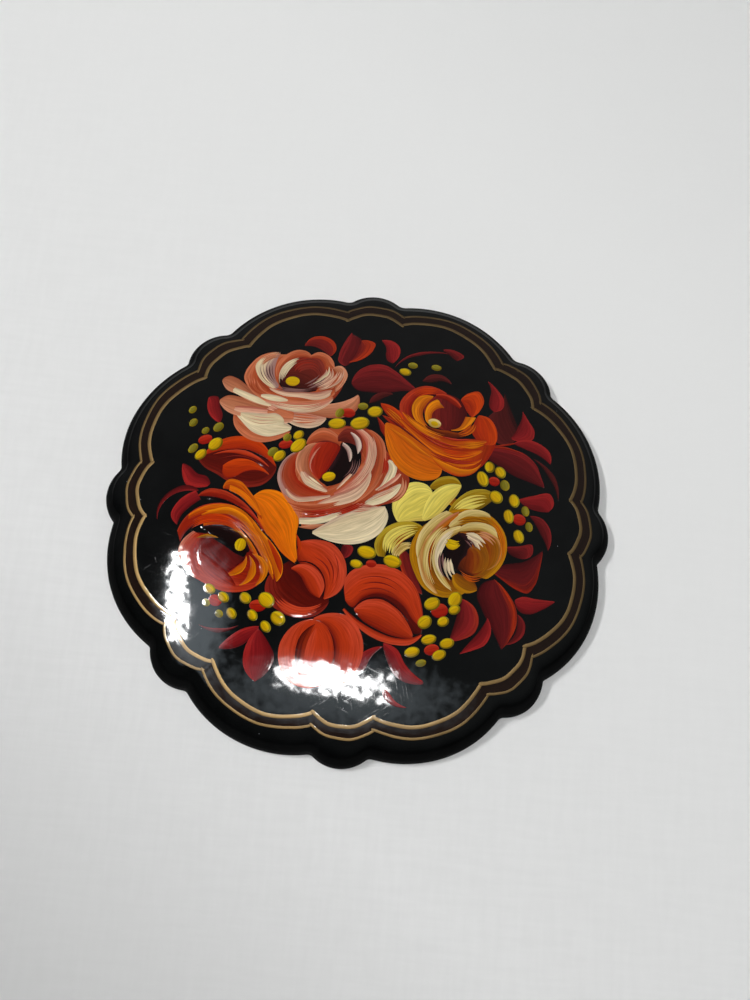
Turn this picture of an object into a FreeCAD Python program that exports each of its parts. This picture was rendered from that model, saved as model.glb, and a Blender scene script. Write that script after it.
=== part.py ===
import FreeCAD, Part
import math
import os

# A lacquered papier-mache brooch. It is a scalloped dome with a hollow back. Inside the hollow
# sit a flat bar, a hinged pin and a roll-over safety catch, so that the rim lies flat.
# Units are mm. The origin is the centre of the rim's back plane, +Z points to the painted face,
# +Y is up as the brooch is worn, and +X is to the right when the painted face is looked at.

Vector = FreeCAD.Vector

# outline of the dome: eight large lobes, eight small lobes, and a rounded valley between them
LOBE_PAIRS = 8
LARGE_LOBE_RADIUS = 14.0
LARGE_LOBE_DISTANCE = 16.5
SMALL_LOBE_RADIUS = 4.5
SMALL_LOBE_DISTANCE = 25.85
VALLEY_RADIUS = 0.9

# section of the dome
DOME_HEIGHT = 7.6
DOME_RADIUS = 100.0
SHELL_THICKNESS = 2.4
TOP_EDGE_ROUND = 2.0
BACK_EDGE_ROUND = 0.3
HOLLOW_RADIUS = 25.5
HOLLOW_CORNER_ROUND = 0.8

# where the fastening sits
PIN_LINE_Y = 5.0
PIN_LINE_Z = 1.7

# flat bar
BAR_LENGTH = 28.0
BAR_WIDTH = 4.0
BAR_THICKNESS = 0.5
BAR_UNDERSIDE_Z = 3.3
BAR_CORNER_RADIUS = 1.6
GLUE_HOLE_RADIUS = 0.9
GLUE_HOLE_XS = (-5.5, 0.0, 5.5)

# sheet metal feet of the hinge bracket and of the catch housing
FOOT_THICKNESS = 0.4
FOOT_WIDTH = 3.2
FOOT_UNDERSIDE_Z = BAR_UNDERSIDE_Z - FOOT_THICKNESS
BAR_TOP_Z = BAR_UNDERSIDE_Z + BAR_THICKNESS

# hinge
HINGE_X = -12.2
HINGE_FOOT_END_X = -8.4
HINGE_FOOT_CORNER_RADIUS = 0.6
CHEEK_RADIUS = 1.15
CHEEK_THICKNESS = 0.5
CHEEK_GAP = 1.16
HINGE_RIVET_RADIUS = 0.42
HINGE_HEAD_RADIUS = 0.75
HINGE_HEAD_HEIGHT = 0.3

# pin
PIN_WIRE_RADIUS = 0.35
PIN_EYE_RADIUS = 1.05
PIN_EYE_WIDTH = 1.0
PIN_EYE_BORE_RADIUS = 0.46
PIN_EYE_EDGE_ROUND = 0.2
PIN_TIP_X = 15.0
PIN_POINT_LENGTH = 2.6
PIN_POINT_RADIUS = 0.06

# catch housing: two split rings on one foot
CATCH_X = 12.0
RING_WIDTH = 1.0
RING_SPACING = 2.3
RING_OUTER_RADIUS = 1.45
RING_BORE_RADIUS = 1.05
RING_MOUTH_WIDTH = 0.96
HOUSING_FOOT_START_X = 7.2
HOUSING_FOOT_CORNER_RADIUS = 0.3
HOUSING_NECK_WIDTH = 1.7
COLLAR_CLEARANCE = 0.08

# catch lock: a slotted barrel with a collar and a thumb lever
BARREL_RADIUS = 1.0
BARREL_LENGTH = 3.9
BARREL_SLOT_WIDTH = 0.86
COLLAR_RADIUS = 1.32
COLLAR_WIDTH = 1.2
LEVER_ANGLE = -30.0
LEVER_ROOT = 0.6
LEVER_REACH = 2.85
LEVER_THICKNESS = 0.5
LEVER_PAD_RADIUS = 0.36

# rivets that hold the two feet on the bar
FOOT_RIVET_XS = (-9.6, 8.5)
FOOT_RIVET_RADIUS = 0.4
FOOT_RIVET_HEAD_RADIUS = 0.75
FOOT_RIVET_HEAD_HEIGHT = 0.25
FOOT_RIVET_EDGE_ROUND = 0.18

# resin around the bar
BED_MARGIN = 0.8
BED_UNDERSIDE_Z = 3.5
PLUG_HEAD_RADIUS = 1.25
PLUG_HEAD_HEIGHT = 0.3

# a length that runs past anything it cuts, and a small overlap that lets two solids fuse
CUT_REACH = 20.0
OVERLAP = 0.1

# height below which an edge counts as part of the back plane, and the smallest shoulder height
BACK_PLANE_Z = 0.001
SHOULDER_Z = 1.0


def polar(distance, degrees, z=0.0):
    angle = math.radians(degrees)
    return Vector(distance * math.cos(angle), distance * math.sin(angle), z)


def valley_centre():
    # the valley circle touches a large lobe and a small lobe from outside
    large = polar(LARGE_LOBE_DISTANCE, 180.0 / LOBE_PAIRS)
    small = polar(SMALL_LOBE_DISTANCE, 0.0)
    to_large = LARGE_LOBE_RADIUS + VALLEY_RADIUS
    to_small = SMALL_LOBE_RADIUS + VALLEY_RADIUS
    apart = large.sub(small)
    span = apart.Length
    along = (to_small ** 2 - to_large ** 2 + span ** 2) / (2.0 * span)
    aside = math.sqrt(to_small ** 2 - along ** 2)
    unit = Vector(apart).normalize()
    outward = Vector(unit.y, -unit.x, 0.0)
    if outward.x < 0.0:
        outward = outward.negative()
    return small.add(unit * along).add(outward * aside)


def turned(point, degrees):
    return FreeCAD.Rotation(Vector(0, 0, 1), degrees).multVec(point)


def mirrored(point, degrees):
    # the mirror image about a line through the centre at the given angle
    flat = turned(point, -degrees)
    return turned(Vector(flat.x, -flat.y, flat.z), degrees)


def arc(first, middle, last):
    return Part.Arc(first, middle, last).toShape()


def scalloped_outline():
    valley = valley_centre()
    small = polar(SMALL_LOBE_DISTANCE, 0.0)
    large = polar(LARGE_LOBE_DISTANCE, 180.0 / LOBE_PAIRS)
    on_small = valley.add(small.sub(valley).normalize() * VALLEY_RADIUS)
    on_large = valley.add(large.sub(valley).normalize() * VALLEY_RADIUS)
    deepest = valley.add(valley.negative().normalize() * VALLEY_RADIUS)
    small_tip = polar(SMALL_LOBE_DISTANCE + SMALL_LOBE_RADIUS, 0.0)
    large_top = polar(LARGE_LOBE_DISTANCE + LARGE_LOBE_RADIUS, 180.0 / LOBE_PAIRS)
    pitch = 360.0 / LOBE_PAIRS
    edges = []
    for index in range(LOBE_PAIRS):
        turn = index * pitch
        edges.append(arc(
            turned(mirrored(on_small, 0.0), turn),
            turned(small_tip, turn),
            turned(on_small, turn),
        ))
        edges.append(arc(
            turned(on_small, turn),
            turned(deepest, turn),
            turned(on_large, turn),
        ))
        edges.append(arc(
            turned(on_large, turn),
            turned(large_top, turn),
            turned(mirrored(on_large, pitch / 2.0), turn),
        ))
        edges.append(arc(
            turned(mirrored(on_large, pitch / 2.0), turn),
            turned(mirrored(deepest, pitch / 2.0), turn),
            turned(mirrored(on_small, pitch / 2.0), turn),
        ))
    return Part.Wire(edges)


def ceiling_ball():
    centre = Vector(0, 0, DOME_HEIGHT - DOME_RADIUS)
    return Part.makeSphere(DOME_RADIUS - SHELL_THICKNESS, centre)


def hollow():
    room = Part.makeCylinder(HOLLOW_RADIUS, 2.0 * CUT_REACH, Vector(0, 0, -CUT_REACH))
    room = room.common(ceiling_ball())
    corner = [edge for edge in room.Edges
              if edge.BoundBox.ZMin > SHOULDER_Z and edge.BoundBox.XLength > HOLLOW_RADIUS]
    return room.makeFillet(HOLLOW_CORNER_ROUND, corner)


def dome():
    prism = Part.Face(scalloped_outline()).extrude(Vector(0, 0, CUT_REACH))
    ball = Part.makeSphere(DOME_RADIUS, Vector(0, 0, DOME_HEIGHT - DOME_RADIUS))
    blank = prism.common(ball)
    shoulder = [edge for edge in blank.Edges if edge.BoundBox.ZMin > SHOULDER_Z]
    blank = blank.makeFillet(TOP_EDGE_ROUND, shoulder)
    back_edge = [edge for edge in blank.Edges if edge.BoundBox.ZMax < BACK_PLANE_Z]
    return blank.makeFillet(BACK_EDGE_ROUND, back_edge)


def papier_mache_body():
    shell = dome().cut(hollow())
    mouth = [edge for edge in shell.Edges
             if edge.BoundBox.ZMax < BACK_PLANE_Z
             and edge.distToShape(Part.Vertex(0, 0, 0))[0] < HOLLOW_RADIUS + OVERLAP]
    return shell.makeFillet(BACK_EDGE_ROUND, mouth)


def box(x_low, x_high, width, z_low, z_high):
    corner = Vector(x_low, PIN_LINE_Y - width / 2.0, z_low)
    return Part.makeBox(x_high - x_low, width, z_high - z_low, corner)


def rounded_plate(x_low, x_high, width, z_low, z_high, corner_radius):
    plate = box(x_low, x_high, width, z_low, z_high)
    upright = [edge for edge in plate.Edges
               if edge.BoundBox.ZLength > 0.9 * (z_high - z_low)]
    return plate.makeFillet(corner_radius, upright)


def upright_pin(x, radius, z_low, z_high):
    return Part.makeCylinder(radius, z_high - z_low, Vector(x, PIN_LINE_Y, z_low))


def upright_drill(x, radius):
    return upright_pin(x, radius, -CUT_REACH, CUT_REACH)


def across_pin(x, radius, length):
    start = Vector(x, PIN_LINE_Y - length / 2.0, PIN_LINE_Z)
    return Part.makeCylinder(radius, length, start, Vector(0, 1, 0))


def along_pin(radius, x_low, x_high):
    start = Vector(x_low, PIN_LINE_Y, PIN_LINE_Z)
    return Part.makeCylinder(radius, x_high - x_low, start, Vector(1, 0, 0))


def bar_blank(z_low, z_high):
    half = BAR_LENGTH / 2.0
    return rounded_plate(-half, half, BAR_WIDTH, z_low, z_high, BAR_CORNER_RADIUS)


def pin_bar():
    bar = bar_blank(BAR_UNDERSIDE_Z, BAR_TOP_Z)
    for x in GLUE_HOLE_XS:
        bar = bar.cut(upright_drill(x, GLUE_HOLE_RADIUS))
    for x in FOOT_RIVET_XS:
        bar = bar.cut(upright_drill(x, FOOT_RIVET_RADIUS))
    return bar


def bar_rivet(x):
    shank = upright_pin(x, FOOT_RIVET_RADIUS, FOOT_UNDERSIDE_Z, BAR_TOP_Z)
    head_low = FOOT_UNDERSIDE_Z - FOOT_RIVET_HEAD_HEIGHT
    low_head = upright_pin(x, FOOT_RIVET_HEAD_RADIUS, head_low, FOOT_UNDERSIDE_Z)
    low_rim = [edge for edge in low_head.Edges if edge.BoundBox.ZMax < FOOT_UNDERSIDE_Z - OVERLAP]
    low_head = low_head.makeFillet(FOOT_RIVET_EDGE_ROUND, low_rim)
    head_high = BAR_TOP_Z + FOOT_RIVET_HEAD_HEIGHT
    top_head = upright_pin(x, FOOT_RIVET_HEAD_RADIUS, BAR_TOP_Z, head_high)
    return shank.fuse([low_head, top_head]).removeSplitter()


def bar_rivets():
    return Part.makeCompound([bar_rivet(x) for x in FOOT_RIVET_XS])


def cap_ball_radius(cap_radius, cap_height):
    # radius of the ball whose cap has this radius and this height
    return (cap_radius ** 2 + cap_height ** 2) / (2.0 * cap_height)


def glue_plug(x):
    neck = upright_pin(x, GLUE_HOLE_RADIUS, BAR_UNDERSIDE_Z, BAR_TOP_Z + OVERLAP)
    ball_radius = cap_ball_radius(PLUG_HEAD_RADIUS, PLUG_HEAD_HEIGHT)
    centre = Vector(x, PIN_LINE_Y, BAR_UNDERSIDE_Z - PLUG_HEAD_HEIGHT + ball_radius)
    button = Part.makeSphere(ball_radius, centre)
    slab = upright_pin(x, PLUG_HEAD_RADIUS, BAR_UNDERSIDE_Z - PLUG_HEAD_HEIGHT, BAR_UNDERSIDE_Z)
    return neck.fuse(button.common(slab))


def adhesive_bed():
    half = BAR_LENGTH / 2.0 + BED_MARGIN
    width = BAR_WIDTH + 2.0 * BED_MARGIN
    bed = rounded_plate(
        -half, half, width, BED_UNDERSIDE_Z, DOME_HEIGHT, BAR_CORNER_RADIUS + BED_MARGIN
    )
    bed = bed.common(ceiling_ball())
    bed = bed.cut(bar_blank(BAR_UNDERSIDE_Z, BAR_TOP_Z))
    for x in FOOT_RIVET_XS:
        bed = bed.cut(bar_rivet(x))
    for x in GLUE_HOLE_XS:
        bed = bed.fuse(glue_plug(x))
    return bed.removeSplitter()


def hinge_cheek(side):
    inner = CHEEK_GAP / 2.0
    y_start = PIN_LINE_Y + inner
    if side < 0:
        y_start = PIN_LINE_Y - inner - CHEEK_THICKNESS
    eye = Part.makeCylinder(
        CHEEK_RADIUS, CHEEK_THICKNESS, Vector(HINGE_X, y_start, PIN_LINE_Z), Vector(0, 1, 0)
    )
    stalk = Part.makeBox(
        2.0 * CHEEK_RADIUS, CHEEK_THICKNESS, FOOT_UNDERSIDE_Z - PIN_LINE_Z + OVERLAP,
        Vector(HINGE_X - CHEEK_RADIUS, y_start, PIN_LINE_Z),
    )
    return eye.fuse(stalk)


def hinge_bracket():
    foot = rounded_plate(
        HINGE_X - CHEEK_RADIUS, HINGE_FOOT_END_X, FOOT_WIDTH, FOOT_UNDERSIDE_Z,
        BAR_UNDERSIDE_Z, HINGE_FOOT_CORNER_RADIUS,
    )
    bracket = foot.fuse([hinge_cheek(1), hinge_cheek(-1)])
    bracket = bracket.cut(across_pin(HINGE_X, HINGE_RIVET_RADIUS, CUT_REACH))
    bracket = bracket.cut(upright_drill(FOOT_RIVET_XS[0], FOOT_RIVET_RADIUS))
    return bracket.removeSplitter()


def hinge_head(side):
    outer = CHEEK_GAP / 2.0 + CHEEK_THICKNESS
    ball_radius = cap_ball_radius(HINGE_HEAD_RADIUS, HINGE_HEAD_HEIGHT)
    inset = ball_radius - HINGE_HEAD_HEIGHT
    centre = Vector(HINGE_X, PIN_LINE_Y + side * (outer - inset), PIN_LINE_Z)
    ball = Part.makeSphere(ball_radius, centre)
    start = Vector(HINGE_X, PIN_LINE_Y + side * outer, PIN_LINE_Z)
    slab = Part.makeCylinder(HINGE_HEAD_RADIUS, HINGE_HEAD_HEIGHT, start, Vector(0, side, 0))
    return ball.common(slab)


def hinge_rivet():
    length = CHEEK_GAP + 2.0 * CHEEK_THICKNESS
    shank = across_pin(HINGE_X, HINGE_RIVET_RADIUS, length)
    return shank.fuse([hinge_head(1), hinge_head(-1)]).removeSplitter()


def pin_stem():
    eye = across_pin(HINGE_X, PIN_EYE_RADIUS, PIN_EYE_WIDTH)
    rims = [edge for edge in eye.Edges if edge.BoundBox.YLength < OVERLAP]
    eye = eye.makeFillet(PIN_EYE_EDGE_ROUND, rims)
    wire = along_pin(PIN_WIRE_RADIUS, HINGE_X, PIN_TIP_X - PIN_POINT_LENGTH)
    start = Vector(PIN_TIP_X - PIN_POINT_LENGTH, PIN_LINE_Y, PIN_LINE_Z)
    point = Part.makeCone(
        PIN_WIRE_RADIUS, PIN_POINT_RADIUS, PIN_POINT_LENGTH, start, Vector(1, 0, 0)
    )
    stem = eye.fuse([wire, point])
    return stem.cut(across_pin(HINGE_X, PIN_EYE_BORE_RADIUS, CUT_REACH)).removeSplitter()


def split_ring(x):
    low = x - RING_WIDTH / 2.0
    high = x + RING_WIDTH / 2.0
    ring = along_pin(RING_OUTER_RADIUS, low, high)
    neck = box(low, high, HOUSING_NECK_WIDTH, PIN_LINE_Z, FOOT_UNDERSIDE_Z + OVERLAP)
    return ring.fuse(neck)


def catch_housing():
    ring_xs = [CATCH_X + side * RING_SPACING / 2.0 for side in (-1, 1)]
    first = ring_xs[0] - RING_WIDTH / 2.0
    last = ring_xs[1] + RING_WIDTH / 2.0
    foot = rounded_plate(
        HOUSING_FOOT_START_X, last, FOOT_WIDTH, FOOT_UNDERSIDE_Z, BAR_UNDERSIDE_Z,
        HOUSING_FOOT_CORNER_RADIUS,
    )
    housing = foot.fuse([split_ring(x) for x in ring_xs])
    housing = housing.cut(along_pin(RING_BORE_RADIUS, first - OVERLAP, last + OVERLAP))
    collar_room = COLLAR_RADIUS + COLLAR_CLEARANCE
    housing = housing.cut(along_pin(collar_room, first + RING_WIDTH, last - RING_WIDTH))
    mouth = box(first - OVERLAP, last + OVERLAP, RING_MOUTH_WIDTH, -CUT_REACH, PIN_LINE_Z)
    housing = housing.cut(mouth)
    housing = housing.cut(upright_drill(FOOT_RIVET_XS[1], FOOT_RIVET_RADIUS))
    return housing.removeSplitter()


def thumb_lever():
    low = CATCH_X - COLLAR_WIDTH / 2.0
    corner = Vector(low, PIN_LINE_Y + LEVER_ROOT, PIN_LINE_Z - LEVER_THICKNESS / 2.0)
    arm = Part.makeBox(
        COLLAR_WIDTH, LEVER_REACH - LEVER_PAD_RADIUS - LEVER_ROOT, LEVER_THICKNESS, corner
    )
    pad_centre = Vector(low, PIN_LINE_Y + LEVER_REACH - LEVER_PAD_RADIUS, PIN_LINE_Z)
    pad = Part.makeCylinder(LEVER_PAD_RADIUS, COLLAR_WIDTH, pad_centre, Vector(1, 0, 0))
    lever = arm.fuse(pad)
    lever.rotate(Vector(CATCH_X, PIN_LINE_Y, PIN_LINE_Z), Vector(1, 0, 0), LEVER_ANGLE)
    return lever


def catch_lock():
    first = CATCH_X - BARREL_LENGTH / 2.0
    last = CATCH_X + BARREL_LENGTH / 2.0
    barrel = along_pin(BARREL_RADIUS, first, last)
    collar = along_pin(COLLAR_RADIUS, CATCH_X - COLLAR_WIDTH / 2.0, CATCH_X + COLLAR_WIDTH / 2.0)
    lock = barrel.fuse([collar, thumb_lever()])
    lock = lock.cut(along_pin(BARREL_SLOT_WIDTH / 2.0, first - OVERLAP, last + OVERLAP))
    slot = box(first - OVERLAP, last + OVERLAP, BARREL_SLOT_WIDTH, -CUT_REACH, PIN_LINE_Z)
    return lock.cut(slot).removeSplitter()


os.makedirs("parts", exist_ok=True)

papier_mache_body().exportStep("parts/papier_mache_body.step")
adhesive_bed().exportStep("parts/adhesive_bed.step")
pin_bar().exportStep("parts/pin_bar.step")
bar_rivets().exportStep("parts/bar_rivets.step")
hinge_bracket().exportStep("parts/hinge_bracket.step")
hinge_rivet().exportStep("parts/hinge_rivet.step")
pin_stem().exportStep("parts/pin_stem.step")
catch_housing().exportStep("parts/catch_housing.step")
catch_lock().exportStep("parts/catch_lock.step")
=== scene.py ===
import math

import bpy
import numpy as np
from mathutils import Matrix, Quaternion, Vector


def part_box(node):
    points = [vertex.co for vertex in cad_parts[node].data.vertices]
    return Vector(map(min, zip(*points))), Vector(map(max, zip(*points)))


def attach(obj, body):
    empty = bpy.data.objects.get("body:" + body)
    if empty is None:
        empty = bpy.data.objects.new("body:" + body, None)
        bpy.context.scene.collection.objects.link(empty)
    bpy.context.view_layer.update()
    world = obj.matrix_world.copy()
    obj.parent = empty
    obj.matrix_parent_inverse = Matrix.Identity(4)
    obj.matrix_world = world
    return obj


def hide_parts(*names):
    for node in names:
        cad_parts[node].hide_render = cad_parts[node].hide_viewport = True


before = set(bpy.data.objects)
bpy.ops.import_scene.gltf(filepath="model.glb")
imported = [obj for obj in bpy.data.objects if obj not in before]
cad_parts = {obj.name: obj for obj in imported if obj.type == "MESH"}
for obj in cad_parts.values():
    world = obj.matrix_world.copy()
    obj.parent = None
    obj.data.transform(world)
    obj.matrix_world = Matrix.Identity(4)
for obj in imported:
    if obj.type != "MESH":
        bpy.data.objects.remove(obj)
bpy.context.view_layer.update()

# Lengths are in millimetres, in the frame of the CAD part. MM turns them into Blender's metres.
MM = 0.001
body_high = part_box("papier_mache_body")[1]

# The scalloped dome. Its height and its reach come from the frame. It is a little lower than the
# CAD dome, so that the paint, which stands a few hundredths of a millimetre on it, has room.
PAINT_ROOM = 0.08
DOME_HEIGHT = body_high.z / MM - PAINT_ROOM
DOME_RADIUS = 100.0
SHELL_THICKNESS = 2.4 - PAINT_ROOM
LOBE_PAIRS = 8
LARGE_LOBE_RADIUS = 14.0
LARGE_LOBE_DISTANCE = 16.5
SMALL_LOBE_RADIUS = 4.5
SMALL_LOBE_DISTANCE = body_high.x / MM - SMALL_LOBE_RADIUS
VALLEY_RADIUS = 0.9
TOP_EDGE_ROUND = 2.0
BACK_EDGE_ROUND = 0.3
HOLLOW_RADIUS = 25.5
HOLLOW_CORNER_ROUND = 0.8
HALF_PITCH = math.pi / LOBE_PAIRS
POINTS_ROUND_THE_BODY = 960
LARGE_LOBE = np.array([math.cos(HALF_PITCH), math.sin(HALF_PITCH)]) * LARGE_LOBE_DISTANCE
SMALL_LOBE = np.array([SMALL_LOBE_DISTANCE, 0.0])

# The camera looks at the brooch from above its lower edge, a little rolled.
CAMERA_LENS = 52.5
CAMERA_ELEVATION = math.radians(67.39)
CAMERA_AZIMUTH = math.radians(4.4)
CAMERA_DISTANCE = 177.3
CAMERA_ROLL = math.radians(9.18)
CAMERA_TARGET = Vector((1.81, 2.97, 0.0))


# ---------------------------------------------------------------- shape of the dome

def dome_z(x, y):
    return DOME_HEIGHT - DOME_RADIUS + np.sqrt(DOME_RADIUS ** 2 - x * x - y * y)


def ceiling_z(x, y):
    ball = DOME_RADIUS - SHELL_THICKNESS
    return DOME_HEIGHT - DOME_RADIUS + np.sqrt(ball ** 2 - x * x - y * y)


def valley_centre():
    # the valley circle touches a large lobe and a small lobe from outside
    to_large = LARGE_LOBE_RADIUS + VALLEY_RADIUS
    to_small = SMALL_LOBE_RADIUS + VALLEY_RADIUS
    apart = LARGE_LOBE - SMALL_LOBE
    span = math.hypot(*apart)
    along = (to_small ** 2 - to_large ** 2 + span ** 2) / (2.0 * span)
    aside = math.sqrt(to_small ** 2 - along ** 2)
    unit = apart / span
    return SMALL_LOBE + unit * along + np.array([unit[1], -unit[0]]) * aside


def ray_to_circle(angle, centre, radius, far):
    # distance from the origin along each angle to a circle
    along = np.cos(angle) * centre[0] + np.sin(angle) * centre[1]
    rest = along ** 2 - centre[0] ** 2 - centre[1] ** 2 + radius ** 2
    root = np.sqrt(np.maximum(rest, 0.0))
    return along + root if far else along - root


def outline_radius(angle, inset):
    # the outline moved inwards by inset, as a distance from the centre for each angle
    folded = np.abs((angle + HALF_PITCH) % (2.0 * HALF_PITCH) - HALF_PITCH)
    valley = valley_centre()
    reach = VALLEY_RADIUS + inset

    def valley_end(lobe):
        # the angle at which the valley touches the lobe
        x, y = valley + (lobe - valley) / np.linalg.norm(lobe - valley) * reach
        return math.atan2(y, x)
    small_end, large_start = valley_end(SMALL_LOBE), valley_end(LARGE_LOBE)
    r_small = ray_to_circle(folded, SMALL_LOBE, SMALL_LOBE_RADIUS - inset, True)
    r_large = ray_to_circle(folded, LARGE_LOBE, LARGE_LOBE_RADIUS - inset, True)
    r_valley = ray_to_circle(folded, valley, reach, False)
    return np.where(folded < small_end, r_small, np.where(folded > large_start, r_large, r_valley))


def hand_cut(angle):
    # a share of the radius that hand filing has taken off, never below zero
    waves = np.sin(3.0 * angle + 0.7) + np.sin(5.0 * angle + 2.1) + 0.8 * np.sin(11.0 * angle + 4.0)
    return 0.0011 * (waves + 2.8)


# ---------------------------------------------------------------- mesh helpers

def new_object(name, points, faces, material):
    mesh = bpy.data.meshes.new(name)
    mesh.from_pydata((np.asarray(points) * MM).tolist(), [], faces)
    mesh.update()
    mesh.polygons.foreach_set("use_smooth", [True] * len(mesh.polygons))
    mesh.materials.append(material)
    piece = bpy.data.objects.new(name, mesh)
    bpy.context.scene.collection.objects.link(piece)
    return piece


def quarter_turn(steps):
    # the sines and the cosines that place the rings of a rounded edge
    return [(math.sin(turn), math.cos(turn)) for turn in np.linspace(0.0, math.pi / 2.0, steps)]


def body_rings(angle):
    # rings from the middle of the face, over the edge, round the back and up into the hollow
    keep = 1.0 - hand_cut(angle)
    rings = []

    def add_ring(radius, height):
        level = height + 0.0 * angle
        rings.append(np.stack([radius * np.cos(angle), radius * np.sin(angle), level], axis=1))

    shoulder = outline_radius(angle, TOP_EDGE_ROUND) * keep
    for share in np.linspace(0.025, 1.0, 40):
        add_ring(shoulder * share, dome_z(shoulder * share, 0.0))
    for sine, cosine in quarter_turn(11)[1:]:
        radius = outline_radius(angle, TOP_EDGE_ROUND * (1.0 - sine)) * keep
        add_ring(radius, dome_z(radius, 0.0) - TOP_EDGE_ROUND * (1.0 - cosine))
    edge = outline_radius(angle, 0.0) * keep
    edge_z = dome_z(edge, 0.0) - TOP_EDGE_ROUND
    for share in (0.35, 0.7, 1.0):
        add_ring(edge, edge_z + (BACK_EDGE_ROUND - edge_z) * share)
    for sine, cosine in quarter_turn(5)[1:]:
        radius = outline_radius(angle, BACK_EDGE_ROUND * (1.0 - cosine)) * keep
        add_ring(radius, BACK_EDGE_ROUND * (1.0 - sine))
    outer = outline_radius(angle, BACK_EDGE_ROUND) * keep
    inner = HOLLOW_RADIUS + BACK_EDGE_ROUND
    for share in (0.33, 0.66):
        add_ring(outer + (inner - outer) * share, 0.0)
    for sine, cosine in quarter_turn(5):
        add_ring(HOLLOW_RADIUS + BACK_EDGE_ROUND * (1.0 - sine), BACK_EDGE_ROUND * (1.0 - cosine))
    corner = HOLLOW_RADIUS - HOLLOW_CORNER_ROUND
    corner_z = float(ceiling_z(corner, 0.0)) - HOLLOW_CORNER_ROUND
    for sine, cosine in quarter_turn(7):
        add_ring(corner + HOLLOW_CORNER_ROUND * cosine, corner_z + HOLLOW_CORNER_ROUND * sine)
    for share in np.linspace(1.0, 0.04, 16)[1:]:
        add_ring(corner * share, ceiling_z(corner * share, 0.0))
    return rings


def brooch_body(material):
    count = POINTS_ROUND_THE_BODY
    angle = np.linspace(0.0, 2.0 * math.pi, count, endpoint=False)
    rings = body_rings(angle)
    points = [[0.0, 0.0, DOME_HEIGHT]] + np.concatenate(rings).tolist()
    points.append([0.0, 0.0, DOME_HEIGHT - SHELL_THICKNESS])
    last = len(points) - 1
    faces = []
    final = last - count
    for step in range(count):
        following = (step + 1) % count
        faces.append((0, 1 + step, 1 + following))
        for low in range(1, final, count):
            high = low + count
            faces.append((low + step, high + step, high + following, low + following))
        faces.append((final + step, last, final + following))
    piece = new_object("brooch_body", points, faces, material)
    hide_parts("papier_mache_body")
    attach(piece, "brooch")


# ---------------------------------------------------------------- brush strokes

# Every stroke is a thin closed solid that lies on the dome and on the strokes under it. The canvas
# keeps the height of the paint so far, so that a later stroke climbs over an earlier one.
CANVAS_HALF = 29.0
CANVAS_CELL = 0.1
CANVAS_SIZE = int(2 * CANVAS_HALF / CANVAS_CELL)
# how thick a stroke is, how much its middle stands above its sides, how far it reaches into the dome
STROKE_COAT = 0.006
STROKE_CROWN = 0.006
STROKE_ROOT = 0.06
# the mesh of a stroke: its spacing along and across, and the fewest and the most steps it may have
ROW_STEP = 0.22
ROW_LIMITS = (14, 90)
LANE_STEP = 0.2
LANE_LIMITS = (4, 26)
# the share of even spacing in the rows; the rest draws them together at both ends of the stroke
EVEN_ROWS = 0.45
# no stroke is narrower than twice this
THINNEST_HALF = 0.012
# one streak of a fan holds this much of the light paint
STREAK_LIGHT = 0.6
canvas = np.zeros((CANVAS_SIZE, CANVAS_SIZE))


def srgb(red, green, blue):
    # a display colour from 0 to 255, turned into the linear light that Blender mixes
    value = np.array([red, green, blue]) / 255.0
    return np.where(value <= 0.04045, value / 12.92, ((value + 0.055) / 1.055) ** 2.4)


def cell_of(x, y):
    column = np.clip(((x + CANVAS_HALF) / CANVAS_CELL).astype(int), 2, CANVAS_SIZE - 3)
    row = np.clip(((y + CANVAS_HALF) / CANVAS_CELL).astype(int), 2, CANVAS_SIZE - 3)
    return row, column


def paint_under(x, y):
    row, column = cell_of(x, y)
    found = canvas[row, column]
    for up in (-2, 0, 2):
        for across in (-2, 0, 2):
            found = np.maximum(found, canvas[row + up, column + across])
    return found


def curve_at(points, share):
    # a smooth curve through the points, read at shares of its length from 0 to 1
    knots = np.asarray(points, float)
    length = np.concatenate([[0.0], np.cumsum(np.linalg.norm(np.diff(knots, axis=0), axis=1))])
    slope = np.gradient(knots, length, axis=0, edge_order=2 if len(knots) > 2 else 1)
    reach = np.clip(share, 0.0, 1.0) * length[-1]
    low = np.clip(np.searchsorted(length, reach, side="right") - 1, 0, len(knots) - 2)
    high = low + 1
    span = length[high] - length[low]
    part = ((reach - length[low]) / span)[..., None]
    span = span[..., None]
    start = (1 + 2 * part) * (1 - part) ** 2 * knots[low] + part * (1 - part) ** 2 * span * slope[low]
    end = part * part * (3 - 2 * part) * knots[high] - part * part * (1 - part) * span * slope[high]
    return start + end


def lane_noise(lane, seed):
    # how far each bristle reaches, from 0 to 1, the same on every run
    wave = np.sin(lane * 23.0 + seed * 7.1) + np.sin(lane * 57.0 + seed * 3.7)
    return 0.5 + 0.25 * wave


def growth(share, reach, pointed):
    # width at one end of a stroke: 0 at the tip and 1 from reach on
    part = np.clip(share / max(reach, 1e-6), 0.0, 1.0)
    return part ** 0.8 if pointed else np.sqrt(1.0 - (1.0 - part) ** 2)


# how a stroke starts and ends: the share of its length that widens, whether that end is pointed, and
# the same two for the end where it narrows
SHAPES = {
    "leaf": (0.5, True, 0.5, True),
    "comma": (0.3, False, 0.7, True),
    "hair": (0.3, True, 0.5, True),
    "hairline": (0.04, False, 0.04, True),
    "dot": (0.5, False, 0.5, False),
}


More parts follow.
